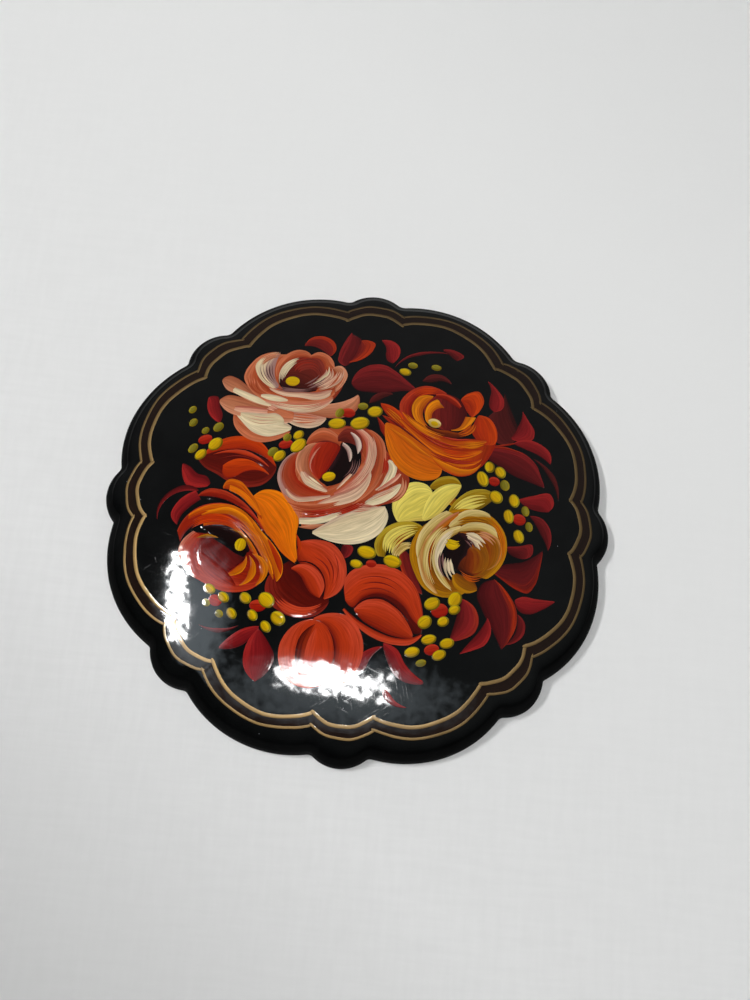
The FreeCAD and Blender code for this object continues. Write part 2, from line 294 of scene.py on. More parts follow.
class Painting:
    """One piece of the bouquet: strokes laid one over another, gathered into one mesh."""

    def __init__(self, name):
        self.name = name
        self.points = []
        self.faces = []
        self.on_top = []
        self.body = []
        self.light = []
        self.load = []
        self.brush = []
        self.count = 0
        self.seed = sum(ord(letter) for letter in name) * 0.37

    def petal(self, outer, inner, paint, light=0.35, dark=0.5, ends=(1.0, 1.0), rag=(0.0, 0.03)):
        """One stroke between two rails. The light paint is along the outer rail."""
        def rails(share, lane):
            inside = curve_at(inner, share)
            outside = curve_at(outer, share)
            middle = 0.5 * (inside + outside)
            half = 0.5 * (outside - inside)
            size = np.linalg.norm(half, axis=-1, keepdims=True)
            half = np.where(size < 1.25 * THINNEST_HALF, np.array([THINNEST_HALF, 0.009]), half)
            return middle + half * (2.0 * lane[..., None] - 1.0)
        length = np.linalg.norm(np.diff(curve_at(outer, np.linspace(0, 1, 20)), axis=0), axis=1).sum()
        middle = rails(np.full(2, 0.5), np.array([0.0, 1.0]))
        self.lay(rails, length, np.linalg.norm(middle[1] - middle[0]), paint, light, dark, ends, rag)

    def stroke(self, path, width, paint, shape, light=0.35, dark=0.5, rag=(0.0, 0.05)):
        """One stroke along a path. The light paint is on the left of the travel."""
        first, first_pointed, last, last_pointed = SHAPES[shape]

        def rails(share, lane):
            step = 0.004
            ahead = curve_at(path, np.minimum(share + step, 1.0))
            behind = curve_at(path, np.maximum(share - step, 0.0))
            along = ahead - behind
            along = along / np.maximum(np.linalg.norm(along, axis=-1, keepdims=True), 1e-9)
            left = np.stack([-along[..., 1], along[..., 0]], axis=-1)
            grow = growth(share, first, first_pointed) * growth(1.0 - share, last, last_pointed)
            half = np.maximum(0.5 * width * grow, THINNEST_HALF)[..., None]
            return curve_at(path, share) + left * half * (2.0 * lane[..., None] - 1.0)
        length = np.linalg.norm(np.diff(np.asarray(path, float), axis=0), axis=1).sum()
        self.lay(rails, length, width, paint, light, dark, (1.0, 1.0), rag)

    def fan(self, outer, inner, count, width, paint, rag=(0.1, 0.15)):
        """Dry streaks of a worn brush, spread evenly between two rails."""
        for lane in np.linspace(0.0, 1.0, count):
            early = rag[0] * float(lane_noise(lane * 1.3, self.seed))
            late = rag[1] * float(lane_noise(lane * 1.7, self.seed + 2.0))
            share = np.linspace(early, 1.0 - late, 7)
            path = curve_at(inner, share) * (1.0 - lane) + curve_at(outer, share) * lane
            wide = width * (0.55 + 0.9 * float(lane_noise(lane * 2.3, self.seed)))
            self.stroke(path, wide, paint, "hair", STREAK_LIGHT, 0.3, (0.0, 0.02))

    def dot(self, x, y, long, wide, lean, paint):
        """A dab of the brush: an oval with its long half axis at the lean angle, in degrees."""
        along = np.array([math.cos(math.radians(lean)), math.sin(math.radians(lean))]) * long
        middle = np.array([x, y])
        path = [middle - along, middle, middle + along]
        self.stroke(path, 2.0 * wide, paint, "dot", 0.45, 0.3, (0.0, 0.0))

    def lay(self, rails, length, width, paint, light, dark, ends, rag):
        """Lays the paint between the rails: the solid, its colours and the load of the brush.

        light and dark are the shares of the width with lighter and darker paint, ends says how much
        light paint is left at the start and at the end, and rag how far the bristles fall short.
        """
        shade, body, bright = [np.asarray(colour) for colour in paint]
        self.seed += 1.0
        rows = int(np.clip(length / ROW_STEP, *ROW_LIMITS))
        lanes = int(np.clip(width / LANE_STEP, *LANE_LIMITS))
        lane = 0.5 - 0.5 * np.cos(np.linspace(0.0, math.pi, lanes + 1))
        share = np.linspace(0.0, 1.0, rows + 1)
        share = EVEN_ROWS * share + (1.0 - EVEN_ROWS) * (0.5 - 0.5 * np.cos(math.pi * share))
        reach = lane_noise(lane, self.seed)
        across = np.broadcast_to(lane, (rows + 1, lanes + 1))
        along = rag[0] * reach + share[:, None] * (1.0 - rag[0] * reach - rag[1] * reach)
        flat = rails(along, across)
        x, y = flat[..., 0], flat[..., 1]
        crown = 1.0 - np.abs(2.0 * across - 1.0) ** 3
        crown = crown * np.clip(np.minimum(share, 1.0 - share)[:, None] * rows / 2.0, 0.0, 1.0)
        height = paint_under(x, y) + STROKE_COAT + STROKE_CROWN * min(width, 1.0) * crown
        self.raise_canvas(x, y, height)
        top = np.stack([x, y, dome_z(x, y) + height], axis=-1)
        floor = np.stack([x, y, dome_z(x, y) - STROKE_ROOT], axis=-1)
        self.add_solid(top, floor)

        toward_shade = np.clip(1.0 - across / max(dark, 1e-3), 0.0, 1.0)[..., None]
        base = body + (shade - body) * toward_shade ** 1.3
        fade = ends[0] + (ends[1] - ends[0]) * share[:, None]
        load = np.clip((across - (1.0 - light)) / max(light, 1e-3), 0.0, 1.0) ** 0.7 * fade
        load = np.clip(load, 0.0, 1.0)
        brush = np.stack([along * length, across * width, np.full_like(along, self.seed)], axis=-1)
        bright = np.broadcast_to(bright, base.shape)
        for grid, store in ((base, self.body), (bright, self.light), (load, self.load),
                            (brush, self.brush)):
            store.append(grid.reshape((-1,) + grid.shape[2:]))
            store.append(np.concatenate([grid[:, 0], grid[:, -1]]))

    def raise_canvas(self, x, y, height):
        # the stroke is read finely enough to mark every cell that it covers
        def between(value, down, right):
            upper = value[:-1, :-1] * (1 - right) + value[:-1, 1:] * right
            lower = value[1:, :-1] * (1 - right) + value[1:, 1:] * right
            return upper * (1 - down) + lower * down
        for down in (0.0, 0.25, 0.5, 0.75):
            for right in (0.0, 0.25, 0.5, 0.75):
                cells = cell_of(between(x, down, right), between(y, down, right))
                np.maximum.at(canvas, cells, between(height, down, right))

    def add_solid(self, top, floor):
        rows, lanes = top.shape[0], top.shape[1]
        start = self.count
        index = start + np.arange(rows * lanes).reshape(rows, lanes)
        low_left = start + rows * lanes + np.arange(rows)
        low_right = low_left + rows
        self.points += [top.reshape(-1, 3), floor[:, 0], floor[:, -1]]
        quads = np.stack([index[:-1, :-1], index[1:, :-1], index[1:, 1:], index[:-1, 1:]], axis=-1)
        quads = quads.reshape(-1, 4)
        sides = []
        for row in range(rows - 1):
            sides.append((index[row, 0], low_left[row], low_left[row + 1], index[row + 1, 0]))
            sides.append((index[row, -1], index[row + 1, -1], low_right[row + 1], low_right[row]))
            sides.append((low_left[row], low_right[row], low_right[row + 1], low_left[row + 1]))
        sides.append(tuple(index[0, ::-1]) + (low_left[0], low_right[0]))
        sides.append(tuple(index[-1, :]) + (low_right[-1], low_left[-1]))
        along = top[1:, :-1] - top[:-1, :-1]
        across = top[:-1, 1:] - top[:-1, :-1]
        if np.cross(along, across)[..., 2].sum() < 0.0:
            # the quads, as wound, face the dome
            quads = quads[:, ::-1]
            sides = [side[::-1] for side in sides]
        faces = quads.tolist()
        sides = [[int(corner) for corner in side] for side in sides]
        self.faces += faces + sides
        self.on_top += [True] * len(faces) + [False] * len(sides)
        self.count += rows * lanes + 2 * rows

    def finish(self, material):
        piece = new_object(self.name, np.concatenate(self.points), self.faces, material)
        mesh = piece.data
        self.store(mesh, "body_tint", "FLOAT_COLOR", "color", with_alpha(self.body))
        self.store(mesh, "light_tint", "FLOAT_COLOR", "color", with_alpha(self.light))
        self.store(mesh, "load", "FLOAT", "value", np.concatenate(self.load))
        self.store(mesh, "brush", "FLOAT_VECTOR", "vector", np.concatenate(self.brush))
        sharpen_rims(mesh, np.array(self.on_top))
        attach(piece, "brooch")

    def store(self, mesh, name, kind, field, values):
        attribute = mesh.attributes.new(name, kind, "POINT")
        attribute.data.foreach_set(field, np.asarray(values, np.float32).ravel())


def with_alpha(colours):
    stacked = np.concatenate(colours)
    return np.concatenate([stacked, np.ones((len(stacked), 1))], axis=1)


def sharpen_rims(mesh, on_top):
    # the edge between the painted top of a stroke and its side is sharp
    totals = np.zeros(len(mesh.polygons), int)
    mesh.polygons.foreach_get("loop_total", totals)
    edge_of_loop = np.zeros(len(mesh.loops), int)
    mesh.loops.foreach_get("edge_index", edge_of_loop)
    flag = np.repeat(on_top.astype(int), totals)
    lowest = np.ones(len(mesh.edges), int)
    highest = np.zeros(len(mesh.edges), int)
    np.minimum.at(lowest, edge_of_loop, flag)
    np.maximum.at(highest, edge_of_loop, flag)
    sharp = mesh.attributes.new("sharp_edge", "BOOLEAN", "EDGE")
    sharp.data.foreach_set("value", lowest != highest)


# ---------------------------------------------------------------- materials

# a clear coat: its index of refraction, and its roughness where it is whole and where it is scratched
COAT_IOR = 1.5
COAT_ROUGHNESS = (0.04, 0.14)
SCRATCH_DIRECTIONS = (0.35, 1.3, 2.5)
LACQUER_BLACKS = (0.0016, 0.0017, 0.0018, 1.0), (0.0032, 0.0034, 0.0035, 1.0)
DUST_GREY = (0.32, 0.33, 0.35, 1.0)
CHIPPED_BROWN = (0.05, 0.038, 0.03, 1.0)
RESIN_TONES = (0.34, 0.22, 0.08, 1.0), (0.5, 0.36, 0.16, 1.0)
CLOTH_TONES = (0.825, 0.815, 0.805, 1.0), (0.855, 0.845, 0.835, 1.0)
# the sheet's colour where painted light brightens it, and where painted shade darkens it
CLOTH_IN_PAINTED_LIGHT = (0.94, 0.93, 0.915, 1.0)
CLOTH_IN_PAINTED_SHADE = (0.42, 0.415, 0.41, 1.0)


def new_material(name):
    material = bpy.data.materials.new(name)
    material.use_nodes = True
    material.node_tree.nodes.clear()
    return material, material.node_tree


def fill(tree, socket, value):
    # another node's socket is linked, and anything else is the value
    if isinstance(value, bpy.types.NodeSocket):
        tree.links.new(value, socket)
    else:
        socket.default_value = value


def add(tree, kind, **values):
    """A node with its settings and its inputs, which are named, or numbered as in _0."""
    node = tree.nodes.new("ShaderNode" + kind)
    for key, value in values.items():
        if hasattr(node, key):
            setattr(node, key, value)
        elif key[0] == "_":
            fill(tree, node.inputs[int(key[1:])], value)
        else:
            fill(tree, node.inputs[key.replace("_", " ")], value)
    return node


def math_node(tree, operation, first, second=0.0, clamp=False):
    return add(tree, "Math", operation=operation, use_clamp=clamp, _0=first, _1=second).outputs[0]


def product(tree, first, second):
    return math_node(tree, "MULTIPLY", first, second)


def scaled(tree, vector, scale):
    return add(tree, "VectorMath", operation="MULTIPLY", _0=vector, _1=scale).outputs[0]


def noise(tree, vector, scale=1.0, detail=3.0, roughness=0.55):
    return add(tree, "TexNoise", Vector=vector, Scale=scale, Detail=detail, Roughness=roughness).outputs[0]


def ranged(tree, value, from_low, from_high, to_low=0.0, to_high=1.0):
    return add(tree, "MapRange", clamp=True, _0=value, _1=from_low, _2=from_high, _3=to_low,
               _4=to_high).outputs[0]


def mixed(tree, factor, first, second, blend="MIX"):
    return add(tree, "Mix", data_type="RGBA", blend_type=blend, clamp_factor=True, _0=factor, _6=first,
               _7=second).outputs[2]


def bump(tree, strength, depth_mm, height, **values):
    return add(tree, "Bump", Strength=strength, Distance=depth_mm * MM, Height=height, **values).outputs[0]


def upright(tree, vector):
    return add(tree, "SeparateXYZ", Vector=vector).outputs[2]


def place_mm(tree):
    # the place on the brooch, in millimetres
    position = add(tree, "TexCoord").outputs["Object"]
    return scaled(tree, position, (1.0 / MM,) * 3)


def cloudy(tree, place, scale, tones):
    # two tones of one colour, in soft clouds
    return mixed(tree, ranged(tree, noise(tree, place, scale), 0.35, 0.65), *tones)


def scratches(tree, place):
    # hair scratches in three directions, in patches
    found = None
    for turn in SCRATCH_DIRECTIONS:
        turned = add(tree, "VectorRotate", rotation_type="Z_AXIS", Vector=place, Angle=turn)
        lines = noise(tree, scaled(tree, turned.outputs[0], (0.35, 9.0, 0.35)), 1.0, 1.0)
        thin = ranged(tree, lines, 0.69, 0.76)
        found = thin if found is None else math_node(tree, "MAXIMUM", found, thin)
    patches = ranged(tree, noise(tree, place, 0.16, 2.0), 0.42, 0.62, 0.15)
    return product(tree, found, patches)


def varnish(tree, shader, place, relief=None):
    # clear gloss over the paint: slow waves, hair scratches and the relief of what is under it
    marks = scratches(tree, place)
    waves = bump(tree, 1.0, 0.016, noise(tree, place, 0.22, 1.0))
    peel = bump(tree, 1.0, 0.0011, noise(tree, place, 1.6, 2.0), Normal=waves)
    normal = bump(tree, 1.0, 0.0006, marks, invert=True, Normal=peel)
    if relief is not None:
        normal = bump(tree, 1.0, 0.003, relief, Normal=normal)
    fill(tree, shader.inputs["Coat Normal"], normal)
    fill(tree, shader.inputs["Coat Roughness"], ranged(tree, marks, 0.0, 1.0, *COAT_ROUGHNESS))
    shader.inputs["Coat Weight"].default_value = 1.0
    shader.inputs["Coat IOR"].default_value = COAT_IOR


def finish_material(tree, shader):
    add(tree, "OutputMaterial", Surface=shader.outputs[0])


def black_lacquer():
    """Black lacquer with a few dust specks in it, and small chips low on the side of the rim."""
    material, tree = new_material("black_lacquer")
    place = place_mm(tree)
    tone = cloudy(tree, place, 0.3, LACQUER_BLACKS)
    dust = add(tree, "TexVoronoi", feature="F1", Vector=place, Scale=0.55, Randomness=1.0)
    speck = ranged(tree, dust.outputs["Distance"], 0.02, 0.035, 1.0, 0.0)
    chosen = add(tree, "SeparateColor", Color=dust.outputs["Color"]).outputs[0]
    speck = product(tree, speck, ranged(tree, chosen, 0.72, 0.74))
    height = upright(tree, place)
    low = product(tree, ranged(tree, height, 0.25, 0.75, 1.0, 0.0), ranged(tree, height, 0.02, 0.1))
    chips = product(tree, ranged(tree, noise(tree, place, 1.9, 4.0), 0.6, 0.64), low)
    tone = mixed(tree, speck, tone, DUST_GREY)
    tone = mixed(tree, chips, tone, CHIPPED_BROWN)
    shader = add(tree, "BsdfPrincipled", Roughness=0.5, Specular_IOR_Level=0.0, Base_Color=tone)
    varnish(tree, shader, place)
    worn = math_node(tree, "MAXIMUM", speck, chips)
    # the coat fades on the side of the rim, which is less polished than the two faces
    facing = upright(tree, add(tree, "NewGeometry").outputs["Normal"])
    polished = ranged(tree, math_node(tree, "ABSOLUTE", facing), 0.7, 0.93, 0.05)
    gloss = product(tree, ranged(tree, worn, 0.0, 1.0, 1.0, 0.15), polished)
    fill(tree, shader.inputs["Coat Weight"], gloss)
    finish_material(tree, shader)
    return material


def brush_paint(name="brush_paint", metal=0.0, streak=2.2):
    """Paint whose two colours, and how much of the light one each bristle holds, are in the mesh."""
    material, tree = new_material(name)
    body = add(tree, "Attribute", attribute_name="body_tint").outputs["Color"]
    light = add(tree, "Attribute", attribute_name="light_tint").outputs["Color"]
    load = add(tree, "Attribute", attribute_name="load").outputs["Fac"]
    brush = add(tree, "Attribute", attribute_name="brush").outputs["Vector"]
    bristles = noise(tree, scaled(tree, brush, (0.22, 4.2, 1.7)), 1.0, 3.0, 0.62)
    fine = noise(tree, scaled(tree, brush, (0.35, 13.0, 2.3)), 1.0, 2.0)
    # the bristles show most where the two colours meet
    spread = product(tree, load, math_node(tree, "SUBTRACT", 1.0, load))
    swing = product(tree, math_node(tree, "SUBTRACT", bristles, 0.5), 4.0 * streak)
    factor = math_node(tree, "ADD", load, product(tree, swing, spread), True)
    tone = mixed(tree, factor, body, light)
    value = ranged(tree, bristles, 0.32, 0.68, 0.74, 1.16)
    value = product(tree, value, ranged(tree, fine, 0.3, 0.7, 0.93, 1.06))
    grey = add(tree, "CombineColor", _0=value, _1=value, _2=value).outputs[0]
    tone = mixed(tree, 1.0, tone, grey, "MULTIPLY")
    shine = 0.0 if metal == 0.0 else 0.4
    shader = add(tree, "BsdfPrincipled", Roughness=0.55, Metallic=metal, Specular_IOR_Level=shine,
                 Base_Color=tone)
    varnish(tree, shader, place_mm(tree), bristles)
    finish_material(tree, shader)
    return material


def plated_metal(name, colour, roughness, brushed, tarnish):
    """Metal with a fine brushed grain, small dents in its polish and a darker film in patches."""
    material, tree = new_material(name)
    place = place_mm(tree)
    grain = noise(tree, scaled(tree, place, brushed), 6.0)
    film = ranged(tree, noise(tree, place, 0.9, 4.0), 0.45, 0.75, 0.0, tarnish)
    dull = [channel * 0.45 for channel in colour[:3]] + [1.0]
    tone = mixed(tree, film, colour, dull)
    shader = add(tree, "BsdfPrincipled", Metallic=1.0, Base_Color=tone)
    rough = ranged(tree, grain, 0.3, 0.7, roughness * 0.8, roughness * 1.25)
    fill(tree, shader.inputs["Roughness"], rough)
    fill(tree, shader.inputs["Normal"], bump(tree, 0.6, 0.004, grain))
    finish_material(tree, shader)
    return material


def clear_resin():
    material, tree = new_material("amber_resin")
    place = place_mm(tree)
    tone = cloudy(tree, place, 0.8, RESIN_TONES)
    shader = add(tree, "BsdfPrincipled", Roughness=0.28, Base_Color=tone, Subsurface_Weight=0.15,
                 Subsurface_Scale=0.6 * MM)
    fill(tree, shader.inputs["Normal"], bump(tree, 0.7, 0.03, noise(tree, place, 1.4, 2.0)))
    finish_material(tree, shader)
    return material


def pale_ground():
    """A pale woven sheet. It is clear when seen from below, and it casts no shadow."""
    material, tree = new_material("pale_ground")
    place = place_mm(tree)
    weave = noise(tree, scaled(tree, place, (1.2, 0.16, 1.0)))
    cross = noise(tree, scaled(tree, place, (0.16, 1.2, 1.0)))
    cloth = math_node(tree, "ADD", weave, cross)
    tone = mixed(tree, ranged(tree, cloth, 0.75, 1.25), *CLOTH_TONES)
    # painted light brightens the sheet towards its far right corner, and painted shade darkens it towards
    # its near left one
    side = add(tree, "VectorMath", operation="DOT_PRODUCT", _0=place, _1=(-0.8, -1.0, 0.0))
    side = side.outputs["Value"]
    tone = mixed(tree, ranged(tree, side, -60.0, 36.0, 1.0, 0.0), tone, CLOTH_IN_PAINTED_LIGHT)
    tone = mixed(tree, ranged(tree, side, 36.0, 118.0), tone, CLOTH_IN_PAINTED_SHADE)
    shader = add(tree, "BsdfPrincipled", Roughness=0.85, Specular_IOR_Level=0.2, Base_Color=tone)
    fill(tree, shader.inputs["Normal"], bump(tree, 0.35, 0.05, cloth))
    clear = add(tree, "BsdfTransparent")
    back = add(tree, "NewGeometry").outputs["Backfacing"]
    shadow = add(tree, "LightPath").outputs["Is Shadow Ray"]
    choice = math_node(tree, "MAXIMUM", back, shadow)
    blend = add(tree, "MixShader", _0=choice, _1=shader.outputs[0], _2=clear.outputs[0])
    finish_material(tree, blend)
    return material


# ---------------------------------------------------------------- gold lines along the scallops

GOLD_TINTS = (srgb(100, 78, 44), srgb(160, 130, 84), srgb(178, 148, 100))
BAND_TINTS = (srgb(24, 13, 9), srgb(30, 17, 11), srgb(36, 20, 12))
# half the steps of one arc
ARC_STEPS = 5
# each line: where its cusps are (radius, half angle about a small lobe), its two arc radii, its width
OUTER_LINE = (26.6, math.radians(7.5), 5.38, 10.5, 0.28)
INNER_LINE = (25.2, math.radians(7.8), 5.15, 9.03, 0.4)


def hand_wave(angle, seed):
    # the hand that drew the line wanders by a tenth of a millimetre
    return 0.05 * math.sin(3.0 * angle + seed) + 0.04 * math.sin(11.0 * angle + 2.3 * seed)


def scallop_arc(axis, half_angle, cusp_radius, arc_radius, overshoot, seed):
    """One arc of a scalloped line, from cusp to cusp about the axis direction, as a list of points."""
    half_chord = cusp_radius * math.sin(half_angle)
    centre = cusp_radius * math.cos(half_angle) - math.sqrt(arc_radius ** 2 - half_chord ** 2)
    sweep = math.asin(half_chord / arc_radius) + overshoot / arc_radius
    points = []
    for step in range(2 * ARC_STEPS + 1):
        turn = sweep * (step / ARC_STEPS - 1.0)
        radius = arc_radius + hand_wave(axis + turn, seed)
        across = radius * math.sin(turn)
        out = centre + radius * math.cos(turn)
        points.append((out * math.cos(axis) - across * math.sin(axis),
                       out * math.sin(axis) + across * math.cos(axis)))
    return points


def scallop_arcs(line, overshoot, seed):
    cusp_radius, half_angle, small_arc, large_arc, width = line
    arcs = []
    for lobe in range(LOBE_PAIRS):
        axis = 2.0 * HALF_PITCH * lobe
        arcs.append(scallop_arc(axis, half_angle, cusp_radius, small_arc, overshoot, seed + lobe))
        arcs.append(scallop_arc(axis + HALF_PITCH, HALF_PITCH - half_angle, cusp_radius, large_arc,
                                overshoot, seed + lobe + 0.5))
    return arcs


def gold_band(material):
    band = Painting("maroon_band")
    insides = scallop_arcs(INNER_LINE, 0.0, 1.0)
    outsides = scallop_arcs(OUTER_LINE, 0.0, 4.0)
    for inside, outside in zip(insides, outsides):
        band.petal(outside, inside, BAND_TINTS, light=0.3, dark=0.1, rag=(0.0, 0.0))
    band.finish(material)


def gold_line(name, line, seed, strength, material):
    drawn = Painting(name)
    gold = [tint * strength for tint in GOLD_TINTS]
    for arc in scallop_arcs(line, 0.3, seed):
        drawn.stroke(arc, line[-1], gold, "hairline", light=0.5, dark=0.35, rag=(0.0, 0.012))
    drawn.finish(material)


# ---------------------------------------------------------------- the painter's palette

PAINT_GAIN = 1.16
VARNISH_GREY = 0.0075


def paint(shade, body, light):
    # the dark side of the brush, its body and the lighter paint picked up on its other side;
    # the varnish lays a little grey over every colour, so the paint under it is deeper
    tones = (srgb(*shade), srgb(*body), srgb(*light))
    return tuple(np.maximum(PAINT_GAIN * tone - VARNISH_GREY, 0.0004) for tone in tones)


CREAM = paint((168, 96, 80), (190, 138, 114), (206, 174, 144))
WHITE = paint((182, 150, 130), (206, 184, 146), (216, 198, 162))
SALMON = paint((138, 50, 32), (168, 78, 46), (190, 108, 74))
TAN = paint((150, 80, 54), (178, 110, 78), (198, 132, 100))
PINK = paint((168, 78, 62), (192, 120, 98), (208, 160, 132))
ROSE_RED = paint((120, 26, 18), (148, 38, 22), (172, 58, 42))
WINE = paint((70, 26, 24), (102, 36, 28), (126, 48, 38))
HEART = paint((20, 12, 10), (28, 16, 13), (50, 28, 30))
MAUVE = paint((62, 34, 34), (96, 60, 58), (140, 102, 96))
GREY_PINK = paint((120, 84, 80), (168, 132, 122), (206, 184, 166))
FLAT_ORANGE = paint((180, 80, 4), (192, 90, 0), (202, 102, 8))
BRIGHT_ORANGE = paint((196, 88, 0), (212, 104, 0), (220, 116, 8))
ORANGE = paint((136, 34, 8), (168, 62, 4), (202, 100, 6))
AMBER = paint((152, 64, 6), (186, 92, 6), (212, 124, 20))
BLOOD = paint((104, 24, 20), (138, 36, 22), (168, 54, 32))
VERMILION = paint((140, 36, 20), (170, 50, 14), (186, 62, 20))
MAROON = paint((62, 22, 22), (96, 29, 27), (122, 36, 30))
LEMON = paint((188, 160, 74), (208, 188, 84), (218, 200, 96))
STRAW = paint((158, 118, 50), (186, 156, 82), (206, 182, 120))
OLIVE = paint((110, 84, 6), (140, 104, 10), (168, 142, 40))
MUSTARD = paint((100, 50, 4), (136, 80, 4), (172, 116, 16))
PEACH = paint((160, 92, 34), (188, 128, 66), (206, 158, 98))
RUST = paint((88, 34, 10), (130, 52, 10), (162, 82, 14))
LEAF = paint((60, 20, 22), (92, 27, 28), (126, 34, 34))
LEAF_BRIGHT = paint((88, 22, 24), (124, 30, 32), (150, 38, 36))
LEAF_FLAME = paint((88, 26, 26), (112, 32, 28), (170, 52, 24))
LEAF_DARK = paint((48, 22, 22), (72, 27, 26), (88, 32, 31))
BUD = paint((112, 28, 18), (176, 54, 26), (186, 66, 42))
BUD_DARK = paint((56, 18, 16), (86, 24, 20), (120, 36, 28))
YELLOW = paint((166, 124, 0), (190, 150, 2), (202, 168, 14))
BERRY_RIM = paint((92, 78, 10), (124, 104, 14), (150, 132, 34))
GREEN_BERRY = paint((88, 80, 20), (120, 110, 34), (138, 128, 46))
BERRY_RED = paint((120, 20, 14), (152, 34, 22), (170, 50, 32))


# ---------------------------------------------------------------- roses

# Every petal gives its outer rail, its inner rail and its paint, then the shares of its width with
# light and with dark paint. Later strokes lie on earlier ones.


def rose_pink(material):
    # the low petals first, then the cup and the petals that close it in front
    rose = Painting("rose_pink")
    rose.petal([(-16, 9.9), (-15.8, 8.6), (-14.6, 7.1), (-12.6, 6.3), (-10.6, 6.7), (-9, 7.8)],
        [(-16, 10), (-14.5, 9.6), (-12.5, 9), (-10.5, 8.6), (-9, 7.9)], SALMON, 0.7)
    rose.petal([(-16, 10.4), (-14.8, 8.9), (-13.4, 7.6), (-11.6, 7.1), (-10.2, 7.5), (-8.8, 8.3)],
        [(-15.9, 10.5), (-14, 10.3), (-12, 10.2), (-10.9, 9.9), (-9.8, 9.2), (-8.8, 8.5)], WHITE, 0.8, 0.4,
        rag=(0.02, 0.08))
    rose.petal([(-10.5, 10.1), (-9.4, 9.2), (-8, 8.6), (-6.5, 8.6), (-5.4, 9.2), (-4.9, 10)],
        [(-10.5, 10.5), (-8.8, 10.9), (-7, 10.8), (-4.9, 10.2)], CREAM, 0.55, 0.6)
    rose.petal([(-8.5, 11.2), (-6.5, 11.7), (-4.5, 12.1), (-3, 12.6), (-1.3, 13.8)],
        [(-8.5, 10.8), (-6, 10.3), (-4.5, 10.1), (-3, 10.3), (-1.6, 11.2), (-1.2, 13.5)], TAN, 0.5,
        rag=(0, 0.1))
    rose.fan([(-10, 9.6), (-8, 9.2), (-5.4, 9.8)],
        [(-9.8, 10.4), (-7.6, 10.3), (-5.3, 10.1)], 4, 0.2, SALMON, rag=(0.3, 0.3))
    rose.petal([(-17.9, 11.7), (-17.2, 10.7), (-15.8, 9.9), (-14, 9.8), (-12, 10.1), (-10.6, 10.4)],
        [(-17.9, 12), (-17.2, 12.6), (-15.5, 12.5), (-14, 12), (-12.2, 11.2), (-10.6, 10.7)], TAN, 0.4)
    rose.petal([(-16.4, 10.8), (-14.6, 10.1), (-12.6, 10.1), (-10.8, 10.5)],
        [(-16.4, 11.1), (-14.6, 11.2), (-12.6, 11), (-10.8, 10.7)], PINK, 0.7, 0.3, rag=(0.1, 0.02))
    rose.petal([(-12, 10.2), (-11, 9.4), (-10, 9), (-8.8, 9.4)],
        [(-12, 10.6), (-11.2, 11.2), (-9.8, 11.2), (-8.8, 10.4)], (SALMON[1], SALMON[2], PINK[2]), 0.3, 0.4)
    rose.petal([(-15.2, 10), (-14.4, 9), (-13, 8.4), (-11.2, 8.6), (-9.6, 9)],
        [(-15.2, 10.3), (-13.8, 10.3), (-12.2, 10.2), (-10.9, 10.3), (-9.9, 9.5)], WHITE, 0.3, 0.2,
        rag=(0.02, 0.08))
    rose.fan([(-14.4, 9.4), (-12.4, 8.8), (-10.4, 9.2)],
        [(-14.4, 10), (-12.4, 9.7), (-10.6, 9.8)], 3, 0.1, (TAN[1], TAN[2], WHITE[0]))
    rose.petal([(-17.9, 14.7), (-17.3, 13.6), (-15.8, 12.8), (-14.5, 12), (-12.5, 11.3), (-10.4, 10.9)],
        [(-17.9, 15), (-17.3, 15.5), (-16, 15.1), (-15, 14.3), (-13.5, 13), (-11.5, 12.2), (-10.4, 11.2)],
        TAN, 0.25, 0.7)
    rose.petal([(-16.6, 13.3), (-15, 12.4), (-13.2, 11.6), (-11.2, 11.2)],
        [(-16.4, 13.9), (-14.8, 13.2), (-13.2, 12.5), (-11.2, 11.6)], WHITE, 0.9, 0.2, rag=(0.05, 0.1))
    rose.petal([(-8.2, 18.7), (-11.5, 18.9), (-14.2, 18), (-15.3, 15.3), (-14.4, 13.6), (-12.8, 12.2),
        (-10.5, 11.2), (-8, 10.7)],
        [(-8.2, 18.7), (-6.4, 18.6), (-4.5, 17.5), (-3.1, 16.6), (-3.3, 14.8), (-4.4, 12.6), (-5.8, 11.2),
        (-8, 10.7)], SALMON, 0.2, 0.3)
    pink_cup(rose)
    pink_front(rose)
    rose.dot(-9.4, 15, 0.85, 0.68, 0, YELLOW)
    rose.finish(material)


